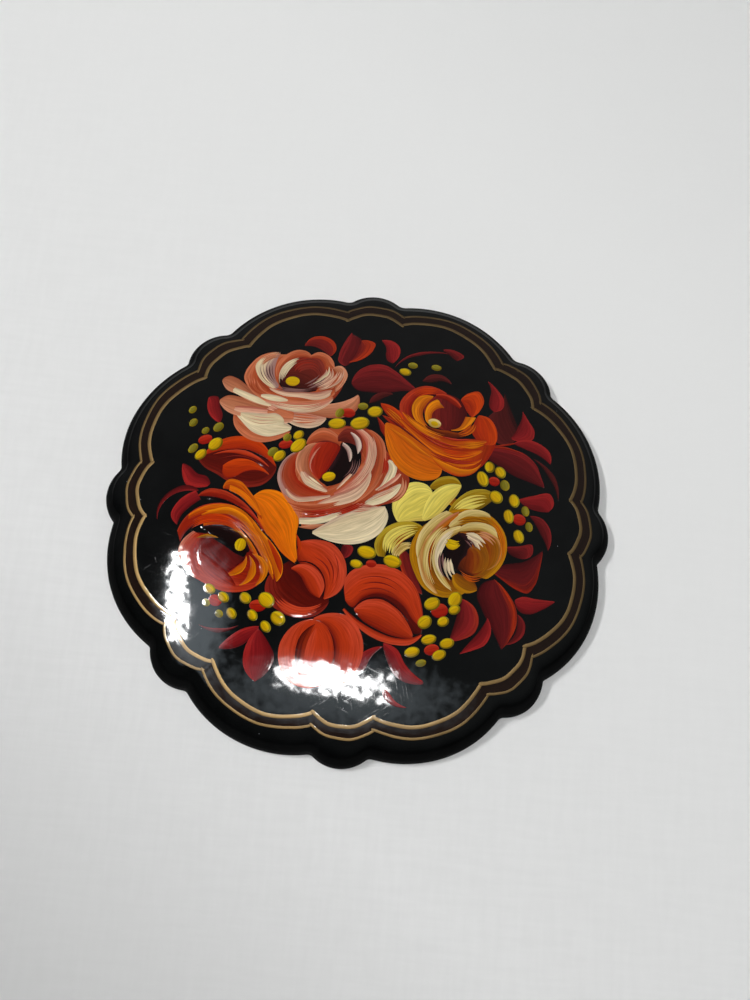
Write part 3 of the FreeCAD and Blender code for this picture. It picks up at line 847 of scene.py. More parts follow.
def pink_cup(rose):
    # the dark inside, the petals that stand round it and the streaks on them
    rose.petal([(-10.8, 16.4), (-10.2, 18.2), (-8.4, 19), (-6.4, 18.5), (-5.5, 16.6), (-6.4, 14)],
        [(-11.1, 15.4), (-10.8, 14.2), (-9.6, 13.5), (-8.2, 13.4), (-6.4, 13.8)],
        (HEART[1], WINE[1], WINE[2]), 0.3, 0.75)
    rose.fan([(-9.8, 16.6), (-8.8, 18.2), (-6.9, 18.4), (-6, 17.2)],
        [(-8.8, 16.2), (-8.2, 16.9), (-7.2, 17), (-6.6, 16.4)], 5, 0.42, WINE[1:] + BLOOD[1:2])
    rose.fan([(-7.6, 14), (-6.2, 14.8), (-5.6, 16.2)],
        [(-8, 14.6), (-7, 15.2), (-6.2, 16.2)], 3, 0.3, MAUVE)
    rose.petal([(-11.5, 19.3), (-13.6, 18.7), (-15, 16.7), (-15.3, 15.2), (-14.3, 13.9), (-11.9, 12.9)],
        [(-11.5, 19), (-12.6, 17.6), (-13.1, 16), (-12.9, 14.8), (-12.3, 14), (-11.6, 13.4)], SALMON, 0.5)
    rose.petal([(-11.2, 19.3), (-13, 18.7), (-14.1, 17.2), (-13.7, 15.7), (-12.6, 14.4), (-11.6, 13.8)],
        [(-11.2, 19.2), (-11.6, 17.8), (-11.7, 16.2), (-11.4, 15), (-11, 14.2), (-11.2, 13.8)],
        (MAUVE[2], GREY_PINK[1], WHITE[1]), 0.75, 0.5, rag=(0.1, 0.02))
    rose.fan([(-13.6, 18), (-12, 19), (-10.8, 19)],
        [(-13.4, 16.9), (-12.4, 18.2), (-11, 18.6)], 5, 0.2, TAN)
    rose.fan([(-13.5, 17.2), (-13.1, 15.6), (-11.6, 14.2)],
        [(-12, 17.6), (-11.9, 16), (-11.3, 14.8)], 5, 0.15, MAUVE)
    rose.petal([(-11.4, 15.6), (-11.5, 17.4), (-10.5, 19), (-9, 19.8), (-7.9, 19.5), (-7.3, 18.7)],
        [(-11, 15.6), (-10.7, 16.8), (-9.9, 18), (-9, 18.5), (-8, 18.6), (-7.3, 18.5)], SALMON, 0.5)
    rose.fan([(-8.7, 18.6), (-10.3, 17.6), (-11, 16.2), (-10.9, 14.6)],
        [(-9.1, 17.8), (-9.9, 16.9), (-10.3, 16), (-10.6, 15)], 5, 0.26, WHITE)
    rose.petal([(-7.5, 19), (-6.5, 19.6), (-5.1, 18.9), (-4.5, 17.4)],
        [(-7.5, 18.6), (-6.5, 18.5), (-5.8, 17.9), (-5.7, 17), (-4.5, 17.2)], SALMON, 0.5)
    rose.petal([(-4.6, 17.4), (-3.7, 17.7), (-2.9, 16.7), (-3.3, 14.9), (-4.4, 13.6)],
        [(-4.7, 17.2), (-4.2, 16.4), (-4.3, 15.4), (-4.8, 14.3), (-4.8, 13.8)], TAN, 0.5)
    rose.fan([(-4.9, 17.4), (-4.7, 16.2), (-6, 14.8), (-7.6, 14.1)],
        [(-5.5, 17.2), (-5.5, 16.5), (-6.2, 15.6), (-7.2, 14.9)], 4, 0.34, CREAM, rag=(0.15, 0.4))
    rose.stroke([(-5.2, 17.5), (-5.2, 16.6), (-5.9, 15.6), (-7, 14.7)], 0.34, WHITE, "hair")
    rose.fan([(-4.7, 15.9), (-5.6, 14.9), (-7.2, 14.2)],
        [(-5.4, 16), (-6, 15.2), (-7.2, 14.6)], 2, 0.16, MAUVE, rag=(0.1, 0.3))
    rose.fan([(-3.4, 17.2), (-3.6, 15.8), (-4.8, 14.5), (-6.8, 13.7)],
        [(-4.1, 17), (-4.4, 15.9), (-5.3, 15), (-6.9, 14)], 4, 0.34, CREAM, rag=(0.1, 0.25))
    rose.fan([(-3.3, 16.4), (-3.9, 14.8), (-5.2, 13.8)],
        [(-3.8, 16.8), (-4.3, 15.3), (-5.4, 14.2)], 2, 0.2, SALMON)


def pink_front(rose):
    # the petals in front of the cup and the streaks on them
    rose.fan([(-13.8, 15.4), (-13.4, 13.9), (-11.6, 12.9)],
        [(-14.9, 15.6), (-14.2, 13.9), (-12.4, 12.6)], 4, 0.36, SALMON)
    rose.petal([(-12.4, 13.1), (-10.5, 12.3), (-8, 12), (-5.6, 12.2), (-4.1, 13.7)],
        [(-12.4, 13.5), (-10.3, 13.3), (-8, 13.2), (-5.9, 13.4), (-4.2, 14.6)], SALMON, 0.3)
    rose.petal([(-12.2, 13.8), (-10.5, 12.9), (-8.3, 12.7), (-6.2, 12.5), (-5, 13), (-4.4, 13.9)],
        [(-12.2, 14), (-10.3, 13.5), (-8, 13.5), (-6.3, 13.6), (-5, 14), (-4.4, 14.1)], CREAM, 0.9, 0.5,
        rag=(0.05, 0.12))
    rose.fan([(-11.6, 13.7), (-9.2, 13.5), (-6.8, 13.8)],
        [(-11.2, 14.3), (-9.2, 13.8), (-6.9, 14.2)], 3, 0.2, MAUVE)
    rose.petal([(-12.4, 11.8), (-10.5, 11), (-8, 10.6), (-6.3, 10.9), (-5.1, 11.7), (-4.3, 12.7)],
        [(-12.4, 12.2), (-10.4, 12.2), (-8, 12.2), (-5.7, 12.6), (-4.3, 13.1)],
        (SALMON[2], PINK[1], CREAM[2]), 0.4, 0.7, rag=(0, 0.04))
    rose.petal([(-13, 12.6), (-11.4, 12), (-9.7, 12.1)],
        [(-13, 12.9), (-11.4, 12.9), (-9.7, 12.3)], WHITE, 0.8, 0.3)
    rose.fan([(-11.6, 11.7), (-8.2, 10.8), (-5.2, 11.9)],
        [(-11.4, 12), (-8.2, 11.5), (-5, 12.5)], 4, 0.16, WHITE, rag=(0.15, 0.15))
    rose.fan([(-12.2, 10.9), (-11, 10.5)], [(-11.8, 11.5), (-10.6, 10.9)], 4, 0.2, PINK)


def rose_centre(material):
    # the large base, its two sides, its heart, and the white petal below
    rose = Painting("rose_centre")
    rose.petal([(-5, 8.5), (-7.5, 5.6), (-9.6, 3.7), (-10, 2), (-9.2, -0.2), (-7.8, -2), (-6.9, -3.4),
        (-6.5, -4.3)],
        [(-5, 8.5), (-2, 9.2), (1, 8.6), (2.4, 6.5), (3.9, 4.6), (5.3, 3.3), (4.6, 0.4), (2.2, -0.8),
        (-2, -2.5), (-6.5, -4.4)], SALMON, 0.2)
    centre_right(rose)
    centre_left(rose)
    centre_heart(rose)
    rose.petal([(-5.3, -4.9), (-3, -5.7), (-1, -5.85), (1, -5.3), (2.7, -3.8), (3.2, -1.8), (2.8, -0.9)],
        [(-5.3, -4.6), (-3.4, -3.2), (-1.4, -1.8), (0.2, -1.25), (1.5, -1), (2.8, -0.8)], WHITE, 0.75, 0.25,
        rag=(0, 0.02))
    rose.fan([(-1.2, -0.9), (1, -0.9), (2.4, -1)], [(-1, -1.9), (0.4, -1.6), (1.2, -1.4)], 4, 0.22, PINK)
    rose.fan([(-3.3, -2.1), (-1.2, -1.2), (1, 0.2)],
        [(-3.1, -2.7), (-1, -1.7), (0.6, -0.9)], 4, 0.2, ROSE_RED, rag=(0.2, 0.2))
    rose.finish(material)


def centre_right(rose):
    # the long petals that sweep down the right side, and the small ones beyond them
    rose.petal([(0.5, 8.9), (1.9, 7.8), (2.5, 5.8), (2.3, 3.4), (1.1, 0.9), (-0.9, -0.9)],
        [(-0.4, 8.9), (0.9, 7.4), (1.3, 5.4), (1, 3.3), (0.2, 1.2), (-0.9, -0.8)], SALMON, 0.5)
    rose.petal([(-0.6, 8.9), (0.8, 7.6), (1.2, 5.6), (0.6, 3.4), (-0.9, 1.2), (-3.2, -0.4)],
        [(-1.4, 8.7), (-0.1, 7.2), (0.1, 5.2), (-0.5, 3.4), (-1.9, 1.5), (-3.4, 0.2)], PINK, 0.45, 0.6)
    rose.fan([(0.6, 8.4), (1.2, 6.2), (0.8, 3.6), (-1.4, 0.7)],
        [(0.1, 8), (0.4, 6), (0, 3.8), (-2, 1.2)], 5, 0.22, CREAM)
    rose.petal([(-5, 0), (-3, 1), (-1.2, 2.6), (0.2, 4.4)],
        [(-5, 0.3), (-3.2, 1.5), (-1.6, 3.1), (-0.3, 4.9)], SALMON, 0.4)
    rose.petal([(0.9, 3.7), (0.7, 1.6), (-0.4, -0.2), (-2.2, -1.1), (-4.3, -1.5), (-5.8, -2)],
        [(0.7, 3.8), (0.1, 2.3), (-1.4, 1), (-3.1, 0.1), (-4.7, -0.9), (-5.8, -1.8)], CREAM, 0.95, 0.5,
        rag=(0.12, 0.06))
    rose.fan([(2.7, 6.4), (2.9, 4.6), (2.3, 2.9)], [(2.2, 5.6), (2.4, 4.2), (2, 3)], 3, 0.3, ROSE_RED)
    rose.petal([(2.8, 5.2), (3.8, 4.5), (3.7, 3.2), (2.9, 1.9), (1.4, 1)],
        [(2.7, 5), (2.9, 4), (2.5, 2.8), (2.1, 1.8), (1.4, 1.1)], WHITE, 0.8, 0.4, rag=(0.03, 0.12))
    rose.petal([(4.4, 3.4), (3.9, 2.6), (3, 1.8), (1.8, 1)],
        [(4.2, 3.6), (3.5, 2.9), (2.7, 2.1), (1.7, 1.2)], PINK, 0.5)
    rose.petal([(4.5, 2.2), (4.2, 1.2), (3, -0.1), (1.5, -0.8), (0.2, -0.9)],
        [(4.4, 2.3), (3, 1.4), (1.6, 0.5), (0.2, -0.7)], WHITE, 0.9, 0.4, rag=(0.05, 0.15))
    rose.fan([(4.9, 3.2), (4.8, 1.2), (3.2, -0.4)], [(4.5, 3.3), (4.5, 1.4), (3, -0.2)], 2, 0.35, TAN)
    rose.fan([(3.9, 1.4), (2.4, 0.5), (0.8, -0.4)], [(4.2, 1.9), (2.6, 1.1), (1, 0.2)], 3, 0.12, PINK)


def centre_left(rose):
    # the petals that curl round the left side and meet under the heart
    rose.petal([(-7, 5.8), (-9.6, 3.8), (-10, 2), (-9.1, -0.1), (-7.6, -1), (-5.5, -0.8), (-3.6, -0.2)],
        [(-7.2, 5.2), (-8, 3.6), (-7.6, 1.8), (-6.5, 0.9), (-5, 0.3), (-3.6, 0)],
        (ROSE_RED[1], (SALMON[0] + SALMON[1]) / 2.0, GREY_PINK[1]), 0.3, 0.8)
    rose.petal([(-9, 0.5), (-7.7, -1), (-5.6, -0.9), (-3.4, -0.1)],
        [(-8.9, 0.7), (-7.6, -0.4), (-5.6, -0.3), (-3.4, 0.1)], CREAM, 0.8, 0.3, rag=(0.08, 0.1))
    rose.petal([(-6, 6.6), (-7.8, 5.1), (-8, 3.6), (-7.3, 2.1), (-6, 1.1), (-4, 0.4)],
        [(-5.8, 6.4), (-6.6, 4.6), (-6.4, 3), (-5.5, 1.9), (-4, 0.7)], TAN, 0.35, 0.7)
    rose.petal([(-7.4, 3.1), (-6.8, 1.3), (-5.5, 0.6), (-3.9, 0.3)],
        [(-7, 2.9), (-5.9, 2), (-4.7, 1.1), (-3.9, 0.5)], CREAM, 0.8, 0.4, rag=(0.15, 0.08))
    rose.fan([(-7, 1.9), (-5.8, 1), (-4.2, 0.5)], [(-6.6, 2.4), (-5.6, 1.6), (-4.4, 0.9)], 3, 0.2, WHITE)
    rose.fan([(-8.6, -1.2), (-6.2, -1.6), (-2.4, -0.6)],
        [(-7.8, -2.2), (-5.6, -2.1), (-2.6, -1.2)], 3, 0.6, SALMON, rag=(0.05, 0.05))
    rose.petal([(-7, -3.8), (-4.5, -3.6), (-2.7, -2.8), (-1.8, -1.9)],
        [(-7, -3.1), (-5, -2.8), (-3, -2.2), (-1.8, -1.8)], WHITE, 0.8, 0.4, rag=(0.02, 0.15))
    rose.fan([(-7.2, -2.9), (-4.6, -2.7), (-2, -1.5)],
        [(-7, -2.3), (-4.6, -2.1), (-2, -1.2)], 3, 0.22, ROSE_RED, rag=(0.05, 0.1))
    rose.stroke([(-7, -4.2), (-5.6, -4.1), (-3.9, -3.6)], 0.6, TAN, "leaf")


def centre_heart(rose):
    # the dark opening, with the red petal in it and pale strokes on its rim
    rose.petal([(-7, 6.5), (-6.3, 8), (-5.2, 8.7), (-4, 8.3), (-2.9, 6.9)],
        [(-7, 6.3), (-5.5, 6.7), (-4.2, 6.7), (-2.9, 6.6)], SALMON, 0.35)
    rose.petal([(-3.4, 7.6), (-2.2, 8.9), (-0.8, 8.2), (-0.3, 6.4), (-0.6, 4.8)],
        [(-3.3, 7), (-2.2, 6.8), (-1.6, 6), (-1.5, 4.8)], WINE, 0.3)
    rose.petal([(-2.9, 6.9), (-3.4, 5.2), (-4.1, 3.6), (-5.3, 2.1), (-4.3, 1.2)],
        [(-2.9, 6.9), (-0.9, 6.4), (-0.4, 4.4), (-1.6, 2.4), (-4.3, 1)], HEART, 0.2, 0.4)
    rose.petal([(-4.3, 6.9), (-5.9, 6.4), (-6.5, 4.5), (-6.2, 2.9), (-5.1, 1.8)],
        [(-4.3, 6.9), (-3, 6.3), (-3.4, 4.9), (-4.2, 3.2), (-5.1, 1.8)], ROSE_RED, 0.3)
    rose.stroke([(-5.3, 6.1), (-6.1, 4.8), (-6.3, 3.4), (-5.9, 2.6)], 0.22, PINK, "hair")
    rose.stroke([(-5.9, 6.6), (-4.4, 6.9), (-3.1, 6.5)], 0.2, WINE, "hair")
    rose.petal([(-1.9, 8.4), (-0.8, 7.6), (-0.5, 6.3), (-0.9, 5.5)],
        [(-1.9, 8.2), (-1.4, 7.4), (-1.1, 6.4), (-0.9, 5.6)], GREY_PINK, 0.8, 0.3)
    rose.petal([(-2.7, 6.9), (-1.8, 6.2), (-1.5, 5.2), (-1.7, 4.4)],
        [(-2.8, 6.5), (-2.2, 5.8), (-2, 5.2), (-1.8, 4.4)], GREY_PINK, 0.6, 0.4)
    rose.fan([(-0.6, 5), (-0.8, 3.4), (-2.2, 1.8)], [(-1.4, 4.8), (-1.5, 3.6), (-2.6, 2.2)], 4, 0.16, MAUVE)
    rose.petal([(-1.3, 2.8), (-2, 1.8), (-3, 0.7)], [(-1.6, 2.9), (-2.4, 1.9), (-3, 0.8)], CREAM, 0.8)
    rose.dot(-4, 2.3, 0.78, 0.58, 20, YELLOW)


def rose_orange(material):
    # the leaf and the flat petals behind, then the cup, the front and the stamens
    rose = Painting("rose_orange")
    rose.stroke([(1.7, 11.1), (4.4, 9.5), (6.5, 8), (8.8, 6.2)], 1.9, (BLOOD[1], ORANGE[0], ORANGE[1]),
        "leaf", 0.4, 0.5)
    rose.stroke([(1.1, 10.8), (1.9, 9.4), (2.7, 7.4)], 0.9, BLOOD, "leaf")
    rose.petal([(2, 12.2), (3.5, 10.6), (5.5, 8.4), (7.5, 6), (9, 4.8), (11, 4.1)],
        [(4.2, 12), (6, 10), (9, 8.6), (13, 9.2), (15.5, 9.4), (15, 7.6), (13.5, 5.4), (11, 4.1)], ORANGE,
        0.1)
    rose.petal([(2.1, 10), (2.4, 7.2), (3.5, 4.7), (5.3, 3.3), (7.4, 3), (8.8, 3.6), (9.2, 4.7)],
        [(2.3, 10.2), (4.4, 9.4), (6.4, 8), (8, 7), (8.9, 6), (9.2, 5)], FLAT_ORANGE, 0.4)
    rose.stroke([(2.4, 9.6), (4.4, 8.3), (6.2, 7), (8, 6)], 0.7, AMBER, "leaf", 0.4)
    rose.petal([(1.4, 12.8), (3, 12.4), (3.9, 11.6), (4.4, 10.3), (5.8, 8.9)],
        [(1.4, 12.6), (2.3, 11.2), (3.5, 10.3), (5.8, 8.8)], VERMILION, 0.3, 0.5)
    rose.fan([(2.2, 12.2), (3.4, 11.3), (4.8, 9.8)], [(2, 11.9), (3, 10.9), (4.4, 9.7)], 3, 0.2, AMBER)
    orange_cup(rose)
    orange_front(rose)
    rose.dot(8, 10.8, 0.8, 0.62, -10, STRAW)
    rose.dot(8, 10.75, 0.45, 0.34, -10, YELLOW)
    rose.finish(material)


def orange_cup(rose):
    # the maroon inside and the petals that stand round it
    rose.petal([(9.3, 15.3), (6.8, 16), (4.7, 14.8), (3.7, 13), (3.9, 11.6), (5.4, 10.4)],
        [(9.2, 14.9), (7.2, 14.6), (5.9, 13.8), (5.2, 12.6), (5.3, 11.6), (6, 10.6)], BLOOD, 0.55)
    rose.fan([(8.6, 15.6), (6.6, 15.6), (4.9, 14.4)],
        [(8.4, 15), (6.8, 14.9), (5.6, 14)], 4, 0.22, VERMILION)
    rose.petal([(9.2, 15.2), (7.4, 14.2), (6.6, 12.4), (7.4, 10.9), (9.3, 10)],
        [(9.2, 15.2), (11.1, 14.5), (11.9, 12.9), (11.5, 11.1), (9.3, 9.9)], MAROON, 0.4)
    rose.petal([(8, 15), (9.4, 15.1), (10.6, 14.5), (11.2, 13.6)],
        [(8, 14.5), (9.2, 14.3), (10.1, 13.8), (11, 13.3)], BLOOD, 0.5, 0.6)
    rose.petal([(7.7, 14.6), (6, 14.3), (5.2, 12.9), (5.4, 11.4), (6.4, 10.3), (7.4, 9.9)],
        [(7.6, 14.3), (6.9, 13.3), (6.5, 12.2), (6.7, 11.1), (7.4, 10.1)], AMBER, 0.6)
    rose.petal([(8.4, 14.3), (7.2, 13.4), (6.8, 12.2), (7, 10.9), (7.6, 10.4)],
        [(9.3, 13.1), (8.3, 12.9), (7.7, 12.2), (7.6, 11.3), (7.6, 10.6)], AMBER, 0.7, 0.3, rag=(0.08, 0))
    rose.stroke([(6.8, 10.4), (8.4, 9.6), (10.4, 9.4), (12.6, 10.2)], 1.3, (HEART[1], RUST[0], RUST[1]),
        "leaf")
    rose.petal([(13, 12.4), (12.4, 11.3), (11.4, 10.4), (10, 10.1)],
        [(11.7, 12.3), (11.4, 11.4), (11, 10.7), (10, 10.2)], AMBER, 0.7, 0.3)
    rose.petal([(13.4, 12.8), (14.4, 12.7), (15.7, 10.5), (15.4, 9.1), (14.4, 8.8)],
        [(13.2, 12.6), (12.8, 11.6), (12.5, 10.4), (13, 9.5), (14.4, 8.7)], VERMILION, 0.4)
    rose.petal([(11.1, 14.7), (12.1, 15.8), (13.3, 16.2), (13.9, 15.2), (13.5, 13.5), (12.5, 12.3)],
        [(11.1, 14.5), (11.5, 13.8), (11.9, 13), (12.5, 12.3)], VERMILION, 0.6, 0.6)
    rose.fan([(13.1, 11.6), (12.4, 10.2), (10.8, 9.4)],
        [(12.6, 11.6), (11.8, 10.5), (10.6, 9.7)], 3, 0.28, ORANGE)


def orange_front(rose):
    # four long petals in front, the lowest last, and the streaks on them
    rose.petal([(4, 11.8), (6, 9.6), (8, 8.5), (10.5, 7.9), (12.8, 8.3), (14.6, 9.3)],
        [(4.2, 11.9), (6.3, 10.5), (8.3, 9.4), (10.3, 9), (12.3, 9.3), (14.6, 9.5)], ORANGE, 0.6, 0.4,
        rag=(0, 0.06))
    rose.fan([(4.4, 11.4), (7, 9.2), (9.6, 8.6)], [(4.4, 11.8), (6.8, 10), (9.4, 9.3)], 4, 0.2, AMBER)
    rose.petal([(3.8, 10.6), (5.8, 8.6), (8, 6.9), (10.3, 6.2), (12.6, 6.8), (14, 7.9)],
        [(4, 10.9), (6, 9.3), (8.3, 8.1), (10.5, 7.7), (12.6, 7.9), (14, 8.2)], ORANGE, 0.6, 0.4,
        rag=(0, 0.06))
    rose.fan([(9, 6.8), (11, 6.6), (13.2, 7.4)], [(8.6, 7.6), (10.8, 7.3), (13, 7.8)], 4, 0.2, VERMILION)
    rose.stroke([(2, 11.1), (4.3, 9.5), (6.5, 7.9), (8.2, 6.7)], 0.26, WINE, "hair")
    rose.fan([(7.2, 9), (9.4, 8.1), (11.8, 8.1)], [(5.4, 10), (7.8, 8.6), (10.8, 7.9)], 2, 0.28, BLOOD)
    rose.fan([(8.8, 9.2), (10.6, 8.9), (12.8, 9.4)],
        [(6.2, 9.4), (8.6, 7.9), (11.2, 7.6)], 2, 0.24, ROSE_RED)
    rose.petal([(7.7, 6.7), (9.5, 5.8), (11.3, 5.4), (13, 5.9), (13.9, 6.7)],
        [(7.7, 6.9), (9.8, 6.4), (11.5, 6.2), (13, 6.5), (13.9, 6.9)], ORANGE, 0.5)
    rose.fan([(7.4, 7.1), (10.4, 6), (13.8, 6.8)],
        [(7.6, 6.6), (10.6, 5.8), (13.6, 6.3)], 2, 0.22, ROSE_RED, rag=(0.02, 0.05))
    rose.petal([(8, 5.9), (9.3, 4.7), (11, 4.1), (12.6, 4.5), (13.9, 6.2)],
        [(8, 6.1), (9.8, 5.5), (11.4, 5.1), (12.8, 5.3), (13.9, 6.3)], (AMBER[2], AMBER[1], VERMILION[1]),
        0.35, 0.5)
    rose.fan([(11.6, 8), (13.2, 8.3), (14.4, 9)], [(11.4, 8.6), (13, 8.8), (14.2, 9.3)], 3, 0.25, AMBER)


def rose_left(material):
    # a bright petal on the right, a leaf, the petals on top, then the bands and the cup
    rose = Painting("rose_left")
    rose.petal([(-12.6, -0.8), (-11.5, 0.1), (-9.8, 0.1), (-8, -1.2), (-7, -3.4), (-7.1, -5), (-7, -6.6),
        (-6.7, -8.1)],
        [(-12.6, -1), (-11.9, -2.8), (-11.4, -4.2), (-9.8, -6), (-8.6, -7.4), (-6.9, -8.6)], BRIGHT_ORANGE,
        0.3)
    rose.stroke([(-7.2, -5), (-6.7, -6.2), (-6.6, -7.6)], 0.5, VERMILION, "leaf")
    rose.petal([(-19.3, -0.2), (-21.4, -1.8), (-21.9, -3.2), (-21, -4.5)],
        [(-18.6, -1.3), (-19.8, -2.3), (-20.6, -3.2), (-21, -4.4)], LEAF_BRIGHT, 0.4)
    rose.stroke([(-18, -1.2), (-15.8, -1.3), (-13.4, -2.4), (-11.4, -4.4)], 1.1, HEART, "leaf")
    rose.petal([(-19, -0.8), (-18, 0), (-16.4, 0), (-14.4, -0.9), (-12.6, -2.4), (-10.9, -5.1)],
        [(-18.9, -0.9), (-17.6, -0.9), (-16, -1.2), (-14, -2.1), (-12.3, -3.4), (-10.9, -5.2)], BLOOD, 0.4,
        0.6)
    rose.petal([(-16.2, 0.3), (-15.6, 1.3), (-14.4, 1.2), (-13, -0.1), (-11.9, -1.6), (-11.2, -3.4)],
        [(-16.1, 0.1), (-14.8, -0.2), (-13.6, -1), (-12.4, -2.3), (-11.2, -3.6)], ORANGE, 0.35, 0.3)
    rose.petal([(-15.4, 0.6), (-14, 0), (-12.6, -1.2), (-11.4, -3)],
        [(-15.4, -0.1), (-14, -0.8), (-12.8, -1.9), (-11.4, -3.2)], BRIGHT_ORANGE, 0.4)
    rose.stroke([(-13.9, -2), (-12.3, -3.1), (-11.2, -4.4), (-10.6, -5.2)], 0.35, ROSE_RED, "hair")
    left_bands(rose)
    left_cup(rose)
    rose.finish(material)


def left_bands(rose):
    # bands of orange that sweep over the flower from the left to its foot
    rose.petal([(-20.9, -5.2), (-20.2, -3.6), (-18.6, -2.2), (-16.6, -1.7), (-14.6, -2), (-12.6, -3.4),
        (-10.9, -5.4), (-9.6, -7.4), (-8.8, -10.6)],
        [(-20.4, -6.6), (-19.6, -5), (-18, -4), (-16, -3.8), (-14.2, -4.4), (-12.4, -5.8), (-11.2, -7.6),
        (-10.2, -9.2), (-9.3, -10.8)], BLOOD, 0.25, 0.3)
    rose.petal([(-19.8, -3.2), (-18.2, -2.2), (-16.2, -1.8), (-14.4, -2.1), (-12.4, -3.5), (-10.8, -5.5),
        (-9.4, -8)],
        [(-19.8, -3.9), (-18.2, -3.2), (-16.2, -2.9), (-14.4, -3.3), (-12.6, -4.7), (-11.2, -6.4),
        (-9.6, -8.6)], ORANGE, 0.5, 0.5)
    rose.petal([(-18.6, -2.9), (-17, -2.5), (-15.4, -2.2), (-13.4, -3), (-11.8, -4.8), (-10.4, -7),
        (-9.2, -10.4)],
        [(-18.4, -3.5), (-16.8, -3.1), (-15.2, -3.1), (-13.4, -4.1), (-12, -5.8), (-10.8, -8),
        (-9.2, -10.8)], AMBER, 0.5, 0.4, rag=(0.1, 0.05))
    rose.petal([(-18, -4.2), (-15.8, -3.7), (-13.6, -4.9), (-12, -6.6), (-10.9, -8.6)],
        [(-17.8, -5), (-15.6, -4.6), (-13.8, -5.6), (-12.4, -7.2), (-11.2, -8.8)], ORANGE, 0.4, 0.5)
    rose.fan([(-19.8, -4.4), (-17.6, -3.3), (-15.2, -3.5), (-12.8, -5.3)],
        [(-19.6, -5.2), (-17.4, -4), (-15.2, -4.2), (-13.2, -5.7)], 5, 0.3, VERMILION)
    rose.petal([(-12.2, -3.9), (-10.8, -5.3), (-9.4, -6.8), (-8.4, -8.6), (-8.4, -10.2), (-8.9, -10.9)],
        [(-12.2, -4.3), (-11, -6.2), (-10.1, -8), (-9.3, -9.6), (-8.9, -10.9)], AMBER, 0.25, 0.5)
    rose.petal([(-10.4, -5.8), (-9.2, -7.2), (-8.4, -8.8), (-8.4, -9.9)],
        [(-10.3, -6.1), (-9.5, -7.9), (-8.8, -9.4), (-8.4, -10.1)], VERMILION, 0.3)
    rose.fan([(-14, -3.3), (-11.8, -5), (-9.6, -8.8)],
        [(-14.2, -4.1), (-12.2, -5.9), (-10.2, -9.2)], 4, 0.2, FLAT_ORANGE)


def left_cup(rose):
    # the red cup, its dark opening and the amber tongues in it
    rose.petal([(-19.3, -5.4), (-20.5, -7.4), (-19.6, -9.6), (-17, -11.4), (-14.2, -12.3), (-11.6, -11.8),
        (-9.9, -10)],
        [(-18.6, -5.4), (-16.8, -5.6), (-14.4, -6.2), (-12.4, -7.2), (-10.9, -8.6), (-9.9, -9.8)], BLOOD,
        0.35, 0.3)
    rose.petal([(-18.2, -6.2), (-18, -8), (-16.8, -9.6), (-14.9, -10.4)],
        [(-17, -5), (-15, -5.6), (-13.4, -7), (-12.6, -8.4)], MAROON, 0.3)
    rose.petal([(-18.3, -4.7), (-16.8, -4.4), (-15.2, -4.5), (-13.6, -5.4), (-12.2, -7.4)],
        [(-17.2, -5.4), (-16.4, -6.2), (-15.2, -6.9), (-14, -7.7), (-12.8, -8.2)], HEART, 0.2, 0.4)
    rose.petal([(-19, -5.2), (-20.5, -7.3), (-19.8, -9.4), (-18.2, -10.8)],
        [(-18, -5.8), (-18.6, -7.2), (-18.5, -8.8), (-17.6, -10.4)], (BLOOD[1], BLOOD[2], PINK[1]), 0.35,
        0.5)
    for path, width in (([(-12.0, -7.7), (-10.6, -8.8), (-10.5, -10.4), (-11.4, -11.5)], 1.0),
                        ([(-12.3, -7.9), (-11.7, -9.3), (-12.0, -10.6), (-13.2, -11.5)], 0.9),
                        ([(-12.6, -8.0), (-12.8, -9.1), (-13.6, -9.9), (-14.9, -10.4)], 0.9)):
        rose.stroke(path, width, AMBER, "leaf", 0.45, 0.6, rag=(0.02, 0.1))
    rose.stroke([(-18.6, -6.1), (-17.4, -5.8), (-16, -6)], 0.55, MUSTARD, "leaf")
    rose.stroke([(-14.9, -4.9), (-13.6, -5.3), (-12.6, -6.3), (-11.8, -7.6)], 0.4, MUSTARD, "leaf")
    rose.petal([(-18.4, -8), (-17.4, -10.2), (-15.6, -11.4), (-13.4, -11.7)],
        [(-18.2, -7.4), (-16.4, -8.6), (-14.8, -9.8), (-13.4, -11.5)], BLOOD, 0.3)
    rose.dot(-13.4, -6.7, 0.76, 0.64, 80, YELLOW)


